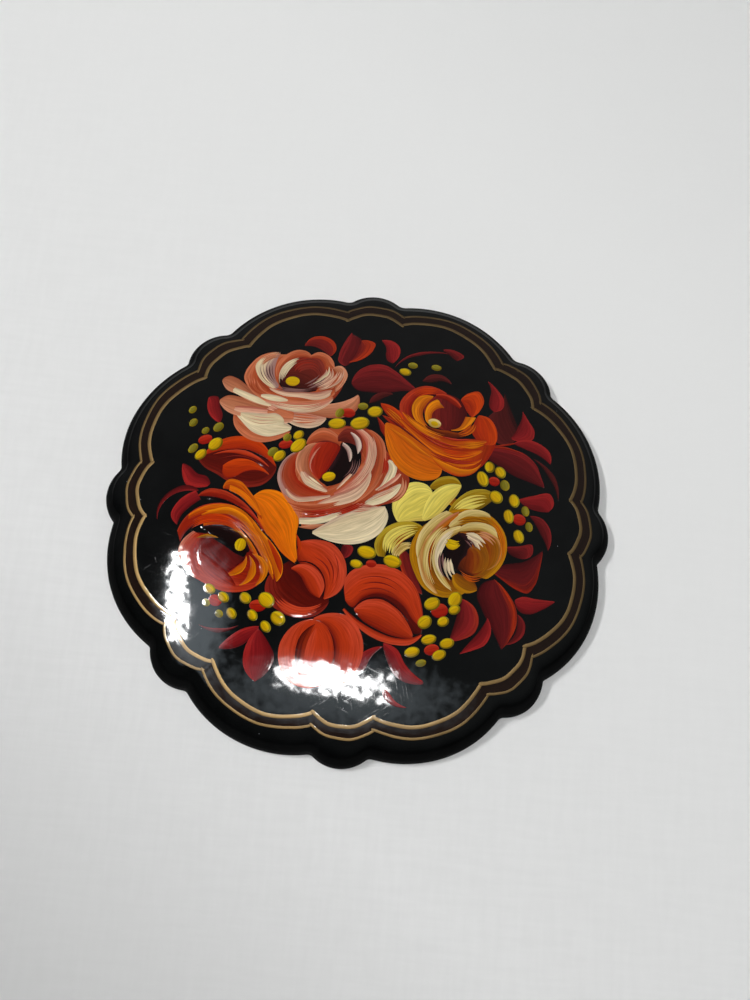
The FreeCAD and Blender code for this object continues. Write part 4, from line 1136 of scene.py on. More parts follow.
def rose_yellow(material):
    # the lemon petals above the flower, the streaked ones on both sides of them, then the flower
    rose = Painting("rose_yellow")
    rose.petal([(7.9, 2.4), (9.4, 3.8), (11, 3.8), (11.6, 2.9)],
        [(7.9, 2), (9, 2), (10.2, 2.2), (11.6, 2.8)], OLIVE, 0.3)
    rose.petal([(10.7, -0.4), (10.4, 0.3), (9.2, -1), (8.2, -2.2)],
        [(12, 0.2), (11.4, 0.9), (10.2, 1.5), (8.2, -1.8)], MUSTARD, 0.3)
    rose.petal([(4.3, -2.5), (3.6, -0.6), (4.2, 1.3), (5.8, 2.6), (7.6, 2.4), (8.4, 1)],
        [(4.6, -2.6), (5.6, -2.4), (6.6, -2.2), (7.6, -2), (8.2, -1.2), (8.4, 0.8)], LEMON, 0.5, 0.2)
    rose.petal([(7.2, -1.9), (7.6, 0.4), (8.8, 2.2), (10.4, 3), (11.6, 3)],
        [(7.5, -2.1), (9, -1.2), (10.4, 0.6), (11.2, 1.8), (11.6, 2.8)], LEMON, 0.5, 0.3)
    rose.petal([(10.2, -0.6), (11.4, 1.4), (13, 2.6), (14.9, 2.8), (15.8, 2.2)],
        [(10.2, -0.8), (12, -0.2), (13.8, 0.2), (15.2, 1.4), (15.8, 2)], OLIVE, 0.3)
    rose.fan([(10.6, -0.4), (11.8, 1), (13.4, 1.9), (14.8, 2)],
        [(11, -0.6), (12.6, 0.2), (13.9, 0.8), (15, 1.4)], 4, 0.42, LEMON)
    rose.petal([(2.4, -6.9), (1.9, -5.6), (2.6, -3.9), (4.2, -2.7), (6.2, -2.4), (7.3, -2.8)],
        [(3.2, -7), (3.6, -5.8), (4.6, -5), (5.8, -4.4), (6.8, -3.6), (7.3, -3)], OLIVE, 0.35)
    rose.fan([(3, -6.4), (3.2, -4.6), (4.8, -3.2), (7, -2.8)],
        [(3.9, -6.6), (4.3, -5.4), (5.4, -4.4), (6.8, -3.5)], 5, 0.5, LEMON, rag=(0.05, 0.1))
    rose.fan([(4.2, -7.2), (4.3, -5.9), (5.6, -5), (6.6, -5)],
        [(4.8, -7), (4.9, -6.2), (5.7, -5.6), (6.4, -5.6)], 4, 0.36, STRAW)
    rose.fan([(3.8, -5.6), (4.9, -4.2), (6.4, -3.4)], [(4.4, -6.2), (5, -5), (6.2, -4.2)], 3, 0.14, RUST)
    yellow_ring(rose)
    yellow_swirl(rose)
    rose.finish(material)


def yellow_ring(rose):
    # the mustard ring with straw petals along its top and its right side
    rose.petal([(8.2, -2.2), (10.4, -0.5), (13, 0.1), (15.6, -0.6), (17.2, -2.8), (17.3, -4.8),
        (16.6, -6.6), (15, -8.2)],
        [(9, -3.2), (10.8, -2.6), (12.6, -2.6), (13.8, -3.4), (14.4, -4.8), (14.2, -6.2), (13.4, -7.4),
        (12.6, -8.2)], MUSTARD, 0.25, 0.6)
    rose.petal([(8.2, -2), (6.4, -4.2), (6, -6.2), (6.6, -8.2), (8, -10.2), (10, -10.9), (12.2, -10.4),
        (13.8, -8.8)],
        [(10.8, -2.6), (9.4, -4.2), (9, -5.8), (9.4, -7.2), (10.2, -8.4), (11.2, -8.8), (12.2, -8.6),
        (13.4, -8)], MUSTARD, 0.4, 0.5)
    rose.petal([(10.3, -2.4), (11, -1.2), (12.4, -0.1), (14.2, 0.1), (15.6, -0.5)],
        [(10.5, -2.6), (11.6, -2), (12.8, -1.2), (14, -0.7), (15.6, -0.7)], STRAW, 0.8, 0.3,
        rag=(0.02, 0.12))
    rose.fan([(11.2, -1.7), (12.8, -1), (15.4, -1.2)],
        [(11.2, -2.3), (12.6, -1.7), (15, -1.5)], 3, 0.3, MUSTARD)
    rose.petal([(11.4, -2.7), (12.6, -1.7), (14.2, -1.4), (15.7, -1.8), (16.4, -2.9)],
        [(11.5, -2.9), (12.8, -2.6), (14.2, -2.4), (15.4, -2.8), (16.3, -3.3)], STRAW, 0.8, 0.4,
        rag=(0.02, 0.12))
    rose.petal([(13.6, -2.8), (15, -2.6), (16.2, -3), (16.8, -4.4), (16.4, -6), (15, -7.1)],
        [(13.8, -3.2), (14.6, -3.8), (15, -4.8), (14.9, -5.9), (15, -7)], (RUST[1], MUSTARD[1], PEACH[1]),
        0.25, 0.7)
    rose.fan([(13.8, -2.6), (15.2, -2.7), (16.3, -3.4)],
        [(13.8, -3), (15, -3.3), (15.9, -4.2)], 3, 0.3, (TAN[0], TAN[2], PEACH[1]))
    rose.fan([(14.8, -0.6), (16.6, -2.2), (17, -5), (16.2, -7)],
        [(15, -1), (16.2, -2.4), (16.6, -5), (15.8, -6.8)], 3, 0.3, AMBER)


def yellow_swirl(rose):
    # the dark swirl, the pale petals down its left side and the streaks on them
    rose.petal([(11.7, -2.9), (13.2, -2.8), (14.6, -3.9), (15.3, -5.6), (15, -7), (13.6, -7.9)],
        [(11, -4), (11.2, -5.2), (11, -6.4), (11.4, -7.4), (12.4, -7.8), (13.6, -8)],
        (HEART[1], RUST[1], MUSTARD[1]), 0.35, 0.75)
    rose.petal([(11, -3.3), (12.2, -3), (13.2, -3.8), (12.9, -5.2), (12, -6.4), (11.6, -7.6)],
        [(10.6, -3.8), (10, -4.8), (9.7, -5.8), (10, -6.6), (10.8, -7), (11.6, -7.7)], HEART, 0.2, 0.3)
    rose.petal([(13, -4.6), (14.2, -4.5), (15, -5.7), (14.7, -7), (13.4, -7.7)],
        [(12.7, -5), (12.6, -5.8), (12.4, -6.6), (12.4, -7.2), (13.4, -7.7)],
        (RUST[0], RUST[1], MUSTARD[1]), 0.6, 0.6)
    rose.fan([(12.3, -3), (13.8, -3.3), (14.9, -4)],
        [(12.5, -3.4), (13.4, -3.9), (14.2, -4.8)], 3, 0.5, WHITE, rag=(0.05, 0.05))
    rose.fan([(12.6, -3.6), (13.4, -4.2), (13.8, -4.9)],
        [(12.3, -3.8), (13, -4.4), (13.4, -5)], 2, 0.2, MAUVE)
    rose.petal([(10.2, -2.6), (7.6, -4), (6.9, -6), (7.2, -7.8), (8, -9.6), (9.6, -10.7)],
        [(10, -2.9), (8.4, -4.4), (7.9, -6), (8.2, -7.6), (8.9, -9.2), (9.6, -10.5)],
        (MUSTARD[1], PEACH[1], STRAW[2]), 0.4, 0.7, rag=(0, 0.08))
    rose.petal([(10, -0.5), (8, -2.1), (6.9, -4), (6.7, -5.6), (7, -6.8)],
        [(10.9, -0.8), (8.9, -2.7), (7.8, -4.2), (7.3, -5.6), (7, -7)], STRAW, 0.8, 0.5, rag=(0, 0.1))
    rose.petal([(11.5, -0.4), (10.1, -1.3), (8.8, -2.7), (7.9, -4.6)],
        [(11.4, -0.9), (10.4, -2), (9.2, -3.3), (8, -4.9)], (AMBER[1], PEACH[0], TAN[1]), 0.5, 0.5)
    rose.fan([(9.8, -2.4), (8, -4.8), (7.7, -7.2), (8.8, -10)],
        [(10.2, -2.8), (8.7, -5), (8.4, -7.2), (9.6, -10.2)], 4, 0.4, STRAW, rag=(0.05, 0.2))
    rose.fan([(9, -3.8), (8.3, -6.4), (9.3, -9.6)], [(9.4, -3.8), (8.8, -6.2), (9.8, -9.2)], 2, 0.4, RUST)
    rose.petal([(11.9, -2.1), (9.7, -3.3), (8.8, -5.2), (8.7, -7), (9.6, -8.9), (11.4, -10.2)],
        [(11.6, -3), (10.3, -4.2), (9.6, -5.6), (9.5, -6.8), (10.1, -8.3), (11.4, -10)], STRAW, 0.6, 0.6,
        rag=(0.02, 0.1))
    rose.fan([(11.4, -2.5), (9.5, -4.2), (9, -6.4), (10, -9)],
        [(11.2, -2.9), (9.9, -4.8), (9.4, -6.6), (10.6, -9.2)], 4, 0.24, WHITE, rag=(0.1, 0.2))
    rose.fan([(9.6, -5.6), (9.5, -7), (10.4, -8.8)],
        [(9.9, -5.6), (9.9, -6.9), (10.8, -8.5)], 2, 0.3, MAUVE)
    rose.fan([(10.2, -6.2), (10.2, -7.5), (11, -9)],
        [(10.8, -6.3), (10.9, -7.3), (11.6, -8.3)], 3, 0.5, WHITE, rag=(0, 0.1))
    rose.petal([(11.1, -8.2), (11.4, -9.5), (12.6, -10.1), (14.1, -9.6)],
        [(11.6, -7.9), (12.6, -8.2), (13.6, -8.6), (14.1, -9.4)], MUSTARD, 0.4)
    rose.fan([(10, -4.5), (10.9, -4.9), (11.9, -4.4)], [(10.1, -4), (11, -4.2), (11.9, -4)], 3, 0.5, YELLOW)
    rose.fan([(11.8, -7.4), (13.2, -8.1), (14.9, -7.6)],
        [(12.2, -8), (13.2, -8.6), (14.6, -8.2)], 3, 0.26, (RUST[1], RUST[2], ORANGE[1]))


# ---------------------------------------------------------------- leaves and buds

def leaves_top(material):
    leaf = Painting("leaves_top")
    leaf.petal([(-8.4, 20.6), (-7.4, 21.9), (-6.2, 22.1), (-4.9, 21.4), (-4.5, 20.2), (-5.2, 19)],
        [(-8.4, 20.4), (-7.2, 20.4), (-6.2, 19.9), (-5.2, 19)], LEAF_FLAME, 0.3, 0.5)
    leaf.petal([(-2.8, 23), (-3.6, 21.3), (-4.1, 19.5), (-4.1, 18.4), (-3.2, 17.7)],
        [(-2.6, 22.7), (-1.2, 21.6), (-1.4, 20), (-2.2, 18.7), (-3.2, 17.7)], LEAF, 0.3)
    leaf.petal([(-1.5, 21.9), (-0.8, 22), (0.2, 21.6), (0, 20.5), (-1, 19.2), (-2.9, 18.3)],
        [(-1.5, 21.7), (-1.8, 20.8), (-2, 19.9), (-2.4, 19), (-2.9, 18.4)], LEAF_FLAME, 0.8, 0.3)
    leaf.petal([(1, 22.2), (2.2, 22.3), (3.2, 21.5), (3.3, 20.2), (2.6, 18.9)],
        [(1.1, 22), (1.6, 21), (1.6, 20), (1.9, 19.1), (2.6, 18.8)], LEAF_BRIGHT, 0.4)
    leaf.stroke([(2.8, 18.2), (4.2, 19.9), (6, 20.8), (8.2, 21.3), (9.6, 21.3)], 0.5, LEAF, "leaf")
    leaf.petal([(8.7, 21.9), (10, 22), (11.3, 21.2), (10.4, 20.4)],
        [(8.7, 21.6), (9.4, 21.2), (9.8, 20.8), (10.4, 20.4)], LEAF, 0.4)
    leaf.petal([(6.3, 16.7), (7.2, 17.7), (8.6, 17.9), (9.9, 16.8)],
        [(6.3, 16.6), (7.4, 16.6), (8.6, 17), (9.9, 16.6)], LEAF_DARK, 0.5)
    leaf.petal([(-2.3, 15.4), (-1.4, 17.4), (-0.2, 18.2), (1.6, 18.4), (3, 17.6), (4.4, 16.4), (5.8, 15.2)],
        [(-2.3, 15.2), (-1.6, 14.4), (0, 14.2), (2, 14.3), (3.8, 14.8), (5.8, 15)], LEAF, 0.4, 0.3)
    leaf.petal([(0, 12.7), (0.6, 13.9), (1.6, 14.4), (2.8, 14.3)],
        [(0, 12.6), (1, 13), (1.9, 13.7), (2.8, 14.2)], LEAF_DARK, 0.4)
    leaf.finish(material)


def leaves_right(material):
    leaf = Painting("leaves_right")
    leaf.petal([(16.5, 16.6), (17.2, 14.6), (17.9, 12.8), (18.5, 10.8), (17.6, 9.7)],
        [(16.2, 14.6), (15, 13.4), (14.3, 12.3), (14.6, 10.8), (15.6, 9.4), (17.6, 9.6)], LEAF_DARK[::-1],
        0.2, 0.5)
    leaf.petal([(14.4, 18), (15.6, 16.9), (16.4, 15.6), (16.3, 14.3), (15.2, 13.6)],
        [(14.4, 17.8), (14.8, 16.6), (14.6, 15.2), (14.6, 14.3), (15.2, 13.6)], LEAF_BRIGHT)
    leaf.petal([(18.8, 14.4), (19.6, 13.1), (20.3, 11.9), (20.1, 10.6), (18.8, 10), (17.4, 10.2)],
        [(18.8, 14.2), (18.6, 13), (18.2, 12), (17.9, 11.2), (17.4, 10.4)], LEAF_BRIGHT)
    leaf.stroke([(15.2, 8.8), (17, 9.3), (19, 10.2)], 0.25, BLOOD, "hair")
    leaf.petal([(17.8, 9.7), (19.2, 10.4), (21, 10.2), (22.3, 9.2), (22.4, 7.7)],
        [(17.8, 9.5), (19.2, 9.1), (20.6, 8.7), (21.6, 8.2), (22.4, 7.6)], LEAF_BRIGHT)
    leaf.stroke([(20.2, 8), (21.8, 6.9), (22.9, 5.4), (23.4, 3)], 0.8, LEAF_DARK, "leaf")
    leaf.petal([(13.6, 7.8), (15.4, 8.7), (17.2, 8.8), (19.2, 8.4), (20.6, 7.2), (21.2, 5.8), (21.7, 4.4)],
        [(13.6, 7.5), (14.8, 6.8), (16.4, 6), (18, 5.2), (19.6, 4.8), (21.7, 4.3)], LEAF, 0.25, 0.5)
    leaf.stroke([(14.2, 8.2), (15.8, 8.7), (17.6, 8.7), (19.4, 8.2)], 0.3, BLOOD, "hair")
    leaf.petal([(18.6, 2.3), (20.2, 3), (22.5, 3.6), (22.9, 2.4), (22.3, 1.4)],
        [(18.6, 2.1), (19.4, 1.5), (20.6, 1.2), (22.3, 1.3)], LEAF_BRIGHT, 0.3, 0.6)
    leaf.petal([(20, 0.4), (21.5, 0.3), (22.5, -0.9), (22.7, -2.2), (22.3, -3.6)],
        [(20.1, 0.2), (20.7, -0.6), (21.3, -1.6), (21.9, -2.6), (22.3, -3.6)], LEAF, 0.4)
    leaf.petal([(17.3, -3.9), (18.8, -3.6), (20.4, -3.2), (20.4, -4.4), (19.2, -5.1)],
        [(17.3, -4.1), (17.7, -4.7), (18.3, -5), (19.2, -5.1)], LEAF, 0.4)
    leaf.petal([(15.6, -7.1), (17.2, -8.1), (18.8, -8.9), (20, -9.1), (20.9, -8), (21.4, -6), (21.7, -3.8)],
        [(15.6, -6.9), (17.4, -6), (19.4, -5.4), (20.6, -4.6), (21.7, -3.6)], (LEAF[0], LEAF[1], BLOOD[1]),
        0.3, 0.5)
    leaf.petal([(18.6, -10.1), (19.4, -9.6), (21, -9.6), (23.4, -9.5)],
        [(18.6, -10.4), (19.3, -11.4), (20.4, -11.5), (21.8, -10.8), (23.4, -9.6)], LEAF_BRIGHT)
    leaf.petal([(19, -11.7), (19.9, -12.6), (19.9, -13.8), (19, -14.9), (17.7, -15.4)],
        [(19, -12), (19, -13), (18.8, -14), (17.7, -15.3)], LEAF, 0.4)
    leaf.petal([(16, -8), (17.6, -9.3), (18.8, -11.2), (18.9, -13), (18.2, -14.8), (17.3, -16)],
        [(16, -8.1), (14.6, -8.8), (14.1, -10), (14.8, -11.8), (15.9, -13.6), (17.3, -16)],
        (LEAF[0], LEAF[1], VERMILION[1]), 0.22, 0.5, ends=(1, 0.2))
    leaf.petal([(12.4, -10.8), (13.9, -11.6), (14.5, -13.2), (14, -14.6), (12.8, -15.4), (11.2, -15.8)],
        [(12.4, -11), (12.1, -12), (11.8, -13.4), (11.5, -14.6), (11.2, -15.7)],
        (LEAF[0], LEAF[2], BLOOD[2]), 0.25, 0.6, ends=(1, 0.3))
    leaf.petal([(15.5, -12.6), (16, -14.2), (15.4, -15.7), (14, -16.5), (12.5, -17.1)],
        [(15.4, -12.8), (14.8, -14), (14.1, -15), (13.3, -16), (12.5, -17.1)], LEAF_BRIGHT)
    leaf.petal([(4.9, -6.2), (5.1, -8), (6.3, -9.9), (7.8, -10.9)],
        [(5.6, -6), (6.4, -7), (7, -8.8), (7.8, -10.7)], LEAF_FLAME, 0.2, 0.6)
    leaf.finish(material)


def leaves_left(material):
    leaf = Painting("leaves_left")
    leaf.petal([(-19.3, 12.3), (-19.3, 11), (-18.8, 9.8), (-17.6, 8.8)],
        [(-19.1, 12.5), (-18.2, 12.5), (-17.8, 11.2), (-17.3, 9.8), (-17.5, 8.8)], LEAF_BRIGHT, 0.4, 0.6)
    leaf.petal([(-21.3, 3.2), (-21.1, 1.6), (-20.5, 0.5), (-19, 0.2), (-17.9, 0.4)],
        [(-21.2, 3.3), (-20.4, 2.9), (-19.4, 2), (-18.2, 1.6), (-17.7, 0.7)], LEAF_BRIGHT, 0.5, 0.6)
    leaf.stroke([(-19, -0.2), (-20.8, 0.1), (-22.4, -0.7), (-23.4, -2.2), (-23.4, -4)], 0.75, LEAF, "comma")
    leaf.stroke([(-17.2, -16.1), (-15, -16.7), (-12.6, -16)], 0.55, LEAF, "leaf")
    leaf.petal([(-14.6, -18.5), (-13.4, -17.2), (-12, -16.3), (-10.3, -16)],
        [(-14.6, -18.7), (-13, -18.6), (-11.6, -17.9), (-10.3, -16.3)], LEAF_BRIGHT, 0.4)
    leaf.petal([(-10.4, -16.3), (-11.7, -18.6), (-11.6, -20.6), (-10.2, -22.1)],
        [(-10.2, -16.4), (-9.2, -17.6), (-8.3, -19.4), (-8.9, -21), (-10.2, -22.1)], LEAF_BRIGHT, 0.3, 0.6)
    leaf.petal([(3.8, -16.8), (5.3, -17.3), (6.5, -19), (8.7, -20.6)],
        [(3.8, -17.2), (4.3, -18.6), (5.4, -20.3), (8.7, -20.9)], LEAF_BRIGHT, 0.4)
    leaf.stroke([(1, -20.6), (2, -18.4), (3.8, -17.2)], 1.5, LEAF_BRIGHT, "comma")
    leaf.stroke([(4.2, -21.8), (5.1, -23), (7, -23.6)], 0.8, LEAF_BRIGHT, "comma")
    leaf.petal([(-1.6, -5.9), (-0.5, -6.2), (-0.8, -7.2), (-1.9, -7.6)],
        [(-1.7, -6), (-1.9, -6.6), (-1.9, -7.1), (-1.9, -7.6)], LEAF, 0.3)
    leaf.finish(material)


def bud_left(material):
    # a dark bud lying on its side, with an orange-red petal above it and one on it
    bud = Painting("bud_left")
    bud.petal([(-19.8, 4.3), (-18.6, 2.8), (-17, 1.9), (-15.4, 0.9), (-13.5, 0.4), (-11.6, 0.8), (-10.5, 2),
        (-10.2, 3.3)],
        [(-19.5, 4.7), (-17.6, 5.2), (-15.6, 5.2), (-13.6, 4.8), (-11.8, 4.2), (-10.2, 3.5)], BUD_DARK, 0.2,
        0.3)
    bud.petal([(-18.8, 4.8), (-16.6, 6.7), (-14.2, 7), (-12.2, 6.2), (-11, 4.7), (-10.3, 3.3)],
        [(-18.6, 4.5), (-16.2, 5.2), (-14.2, 5.3), (-12.4, 4.7), (-10.3, 3.1)], VERMILION, 0.4, 0.6)
    bud.stroke([(-17.8, 4.5), (-14.6, 4.9), (-12.6, 4.2), (-11, 3)], 0.7, BUD, "leaf", 0.4)
    bud.stroke([(-17, 3.9), (-14.6, 4.3), (-12.6, 3.7), (-11, 2.5)], 0.3, BUD_DARK, "hair")
    bud.petal([(-16.5, 3.1), (-15, 4), (-13.4, 3.9), (-12, 3.1), (-10.9, 2.1)],
        [(-16.5, 2.8), (-16.1, 1.6), (-15.2, 1.6), (-13.8, 2.4), (-12.4, 2.6), (-10.9, 2)], VERMILION, 0.5,
        0.4)
    bud.finish(material)


def buds_red(material):
    # three buds at the bottom: first the upper left one, then the other two
    bud = Painting("buds_red")
    bud.petal([(-9.2, -9.4), (-10.1, -11.2), (-9.7, -13), (-8.2, -14.2), (-6, -14.8), (-3.9, -14.3),
        (-2.7, -12.8)],
        [(-7.6, -8.3), (-6.8, -8.8), (-5.6, -9.8), (-4.4, -11.4), (-2.7, -12.4)], BUD_DARK, 0.4, 0.4)
    bud.fan([(-9.2, -12.6), (-6.4, -14.5), (-3.2, -13.3)],
        [(-8.4, -12.4), (-6.2, -13.7), (-3.4, -12.9)], 4, 0.34, BUD)
    bud.petal([(-6.5, -5.9), (-4.6, -5.6), (-2.8, -6), (-1.4, -7.6), (-1, -9.6), (-1.6, -11.4),
        (-3.3, -12.5)],
        [(-6.6, -6.2), (-6.8, -8), (-6, -8.8), (-4.6, -9.2), (-3.7, -10.2), (-3.4, -12.4)], BUD, 0.5, 0.3)
    bud.fan([(-2.8, -6.8), (-2, -8.8), (-2.6, -11.4)],
        [(-5, -7.6), (-3.2, -8.9), (-2.9, -11.2)], 3, 0.16, (BUD_DARK[2], BUD_DARK[2], BUD[0]))
    bud.petal([(-7.3, -9.1), (-6.3, -8.6), (-5, -8.8), (-3.9, -9.7), (-3.4, -11), (-3.8, -12.3)],
        [(-7.3, -9.3), (-6.2, -10), (-5.6, -11), (-4.9, -11.9), (-3.8, -12.4)], BUD, 0.5)
    bud.stroke([(-7, -8.4), (-4.8, -8.6), (-3.6, -9.9), (-3.3, -11.6)], 0.2, BUD_DARK[:1] * 3, "hair")
    bud_second(bud)
    bud_third(bud)
    bud.finish(material)


def bud_second(bud):
    # the bud on the right
    bud.petal([(-1.1, -11.6), (-0.9, -9.6), (0.8, -8.3), (3.2, -8), (5.4, -8.6), (7, -10.1), (7.8, -12),
        (8.1, -14.6)],
        [(-0.9, -12.2), (0.2, -13.4), (2.2, -13.8), (4.4, -14.2), (6, -14.8), (7, -15.4), (8.1, -15.4)],
        BUD_DARK, 0.2, 0.3)
    bud.petal([(-1.1, -11.2), (-0.9, -9.5), (0.8, -8.2), (3.2, -7.9), (5.4, -8.6), (7, -10.2), (7.8, -12.4),
        (8.1, -14.2)],
        [(-0.9, -12.4), (-0.1, -13.1), (1, -12), (2.6, -11.3), (4.4, -11.6), (5.8, -12.5), (6.8, -13.8),
        (8.1, -14.8)], BUD, 0.5, 0.3, ends=(1, 0))
    bud.fan([(0.6, -9.8), (3.4, -9.4), (6.2, -11.2)],
        [(0.4, -11.4), (2.8, -10.7), (5.4, -11.8)], 3, 0.16, (BUD_DARK[2], BUD_DARK[2], BUD[0]))
    bud.petal([(0.2, -13.3), (1.4, -12.2), (3, -11.9), (4.8, -12.6), (6.2, -14.1), (7.1, -15.7)],
        [(0.2, -13.5), (1.2, -14.5), (2.8, -15.3), (4.6, -15.9), (7.1, -16)], BUD, 0.5, 0.6, ends=(1, 0.2))
    bud.stroke([(0.3, -12.9), (1.6, -12), (3.2, -11.8), (5, -12.7), (6.6, -14.4)], 0.3, BUD_DARK[:1] * 3,
        "hair")
    bud.petal([(-1.1, -13.5), (1, -15.5), (3, -16.5), (5.2, -16.9), (6.8, -16.7), (8.1, -15.5)],
        [(-0.9, -13.3), (1.2, -14.8), (3, -15.6), (5, -16.1), (6.6, -16), (8.1, -15.3)], BUD, 0.6, 0.4)


def bud_third(bud):
    # the lowest bud
    bud.petal([(-4.4, -14.8), (-6.6, -15.8), (-7.8, -17.8), (-7.7, -20), (-6.6, -21.7), (-3.6, -22.4)],
        [(-4.2, -14.8), (-1.6, -15.6), (-0.6, -17.4), (-0.6, -19.6), (-1.6, -21.4), (-3.6, -22.3)], BUD,
        0.3, 0.3)
    bud.petal([(-4.3, -14.7), (-2.6, -14), (-0.4, -14.2), (1.1, -15.8), (1.6, -17.8), (1.2, -19.8),
        (-0.2, -21.6)],
        [(-4.1, -14.9), (-2.6, -15.6), (-1.8, -17), (-1.6, -18.6), (-1.8, -20), (-0.2, -21.7)], BUD, 0.5,
        0.4)
    bud.petal([(-4, -15.3), (-5.6, -16.8), (-6, -18.8), (-5.4, -21)],
        [(-4, -15.3), (-2.6, -16.2), (-1.9, -18), (-2.4, -20), (-5.4, -21.1)],
        (BUD[1], BUD[1], BUD_DARK[0]), 0.35, 0.2)
    bud.petal([(-3.9, -15.8), (-4.7, -17.4), (-4.9, -19.2), (-4.6, -20.6)],
        [(-3.7, -15.9), (-2.8, -16.9), (-2.3, -18.4), (-2.8, -20), (-4.6, -20.7)], (BUD[1], BUD[1], BUD[2]),
        0.4, 0.2)
    bud.stroke([(-2.7, -15.6), (-1.7, -17.2), (-1.7, -19.6)], 0.35, BUD_DARK, "leaf")


# ---------------------------------------------------------------- berries

# each berry: its middle, its half length, its half width and its lean in degrees
YELLOW_BERRIES = [
    (-21.0, 10.6, 0.55, 0.45, 60), (-20.7, 8.8, 0.6, 0.48, 60), (-19.1, 7.7, 0.5, 0.42, 50),
    (-17.6, 8.2, 0.7, 0.55, 50), (-17.7, 5.9, 0.98, 0.74, 50), (-20.3, 5.3, 0.7, 0.5, 55),
    (-19.3, 4.5, 0.82, 0.58, 50), (-9.3, 7.1, 0.55, 0.48, 60), (-8.0, 7.5, 0.72, 0.55, 50),
    (-7.9, 6.1, 1.12, 0.74, 50), (-10.8, 5.1, 0.7, 0.55, 50), (-10.0, 4.6, 0.85, 0.62, 50),
    (-3.6, 9.4, 1.06, 0.74, 10), (-0.9, 9.7, 1.16, 0.86, 20), (0.8, 11.5, 0.92, 0.76, 20),
    (-0.7, 12.1, 0.62, 0.5, 10), (-3.4, 10.9, 0.68, 0.5, 70), (4.1, 17.7, 0.74, 0.55, -10),
    (5.0, 18.8, 0.6, 0.45, 0), (7.9, 18.9, 0.62, 0.46, 0), (14.9, 5.9, 0.74, 0.62, 90),
    (16.2, 5.4, 0.78, 0.66, -60), (14.1, 4.2, 1.02, 0.7, -70), (16.8, 3.8, 0.7, 0.58, -80),
    (15.8, 2.1, 0.86, 0.78, -45), (18.0, 2.0, 0.86, 0.66, -80), (19.4, 0.9, 0.65, 0.48, -80),
    (17.4, -0.1, 0.88, 0.62, -80), (19.9, -1.0, 0.62, 0.45, -80), (18.7, -2.4, 0.84, 0.64, -70),
    (1.1, -6.6, 1.12, 0.75, -10), (0.0, -8.1, 0.74, 0.52, -10), (4.1, -7.4, 1.06, 0.76, -10),
    (9.0, -11.8, 0.96, 0.72, 30), (11.6, -11.0, 0.96, 0.76, 60), (11.6, -12.2, 0.72, 0.54, 30),
    (8.3, -14.0, 0.88, 0.72, 40), (10.4, -13.7, 0.72, 0.56, 30), (8.9, -15.9, 0.9, 0.56, 20),
    (11.0, -16.1, 0.86, 0.58, 20), (7.1, -17.5, 0.9, 0.58, 20), (10.2, -17.5, 0.86, 0.56, 30),
    (8.2, -18.6, 0.62, 0.4, 20), (-16.4, -12.0, 0.76, 0.55, -30), (-14.7, -12.9, 0.74, 0.56, -40),
    (-16.6, -13.6, 0.5, 0.4, -40), (-15.0, -14.8, 0.5, 0.42, -40), (-13.6, -14.7, 0.72, 0.52, -50),
    (-12.2, -12.9, 0.74, 0.6, -40), (-9.8, -13.0, 1.02, 0.82, -40), (-11.2, -14.8, 0.72, 0.54, -50),
    (-8.3, -15.0, 0.92, 0.74, -40), (-9.6, -16.0, 0.74, 0.54, -50)]
RED_BERRIES = [
    (-19.0, 6.5, 0.85, 0.62, 20), (-9.4, 6.2, 0.85, 0.58, 20), (-2.4, 11.0, 0.85, 0.64, 0),
    (15.5, 4.1, 0.66, 0.6, 0), (18.7, -0.3, 0.78, 0.7, 0), (1.7, -7.9, 0.6, 0.45, 0),
    (9.9, -12.5, 0.98, 0.82, 20), (9.3, -17.0, 0.88, 0.6, 20), (-15.6, -13.3, 0.8, 0.64, -20),
    (-10.7, -13.7, 0.96, 0.68, 0)]

# a yellow berry whose half length is more than this is ripe, a smaller one is green
RIPE_LENGTH = 0.71


def berries(material):
    dabs = Painting("berries")
    for x, y, long, wide, lean in RED_BERRIES:
        dabs.dot(x, y, long, wide, lean, BERRY_RED)
    for x, y, long, wide, lean in YELLOW_BERRIES:
        # a small berry gets less of the yellow over its olive rim
        cover = 0.55 + 0.3 * min(long, 1.0)
        dabs.dot(x, y, long, wide, lean, BERRY_RIM)
        ripe = YELLOW if long > RIPE_LENGTH else GREEN_BERRY
        dabs.dot(x - 0.05, y + 0.03, long * cover, wide * cover, lean, ripe)
    dabs.finish(material)


def paint_flowers(material):
    leaves_top(material)
    leaves_right(material)
    leaves_left(material)
    bud_left(material)
    buds_red(material)
    rose_left(material)
    rose_yellow(material)
    rose_pink(material)
    rose_centre(material)
    rose_orange(material)
    berries(material)


# ---------------------------------------------------------------- light, ground and camera

GROUND_HALF = 900.0
# a hair under the rim, so that the two flat faces don't lie in one plane
GROUND_Z = -0.03
DAYLIGHT = (1.0, 1.0, 1.0)
SKY_BLUE = (0.8, 0.92, 1.0)
QUARTER = math.pi / 2.0
# each soft light: its name, place, width, height, power in watts, turn about its own axis, colour and
# raggedness. Two windows leave the broken highlights, and two wide hazes lie round them.
SOFT_LIGHTS = [
    ("window_left", (-258.0, 22.0, 444.0), 36.0, 140.0, 2.0, QUARTER + 0.15, DAYLIGHT, 8.0),
    ("window_front", (-8.0, -102.0, 491.0), 190.0, 50.0, 2.0, 0.0, DAYLIGHT, 5.0),
    ("haze_left", (-228.0, -12.0, 452.0), 130.0, 260.0, 0.27, QUARTER, SKY_BLUE, 1.2),
    ("haze_front", (0.0, -120.0, 488.0), 460.0, 130.0, 0.24, 0.0, SKY_BLUE, 1.4),
    ("under_light", (-150.0, -120.0, -380.0), 260.0, 260.0, 9.0, 0.0, DAYLIGHT, 0.0)]
# one patch of a ragged light is about this wide
PATCH_SIZE = 13.0

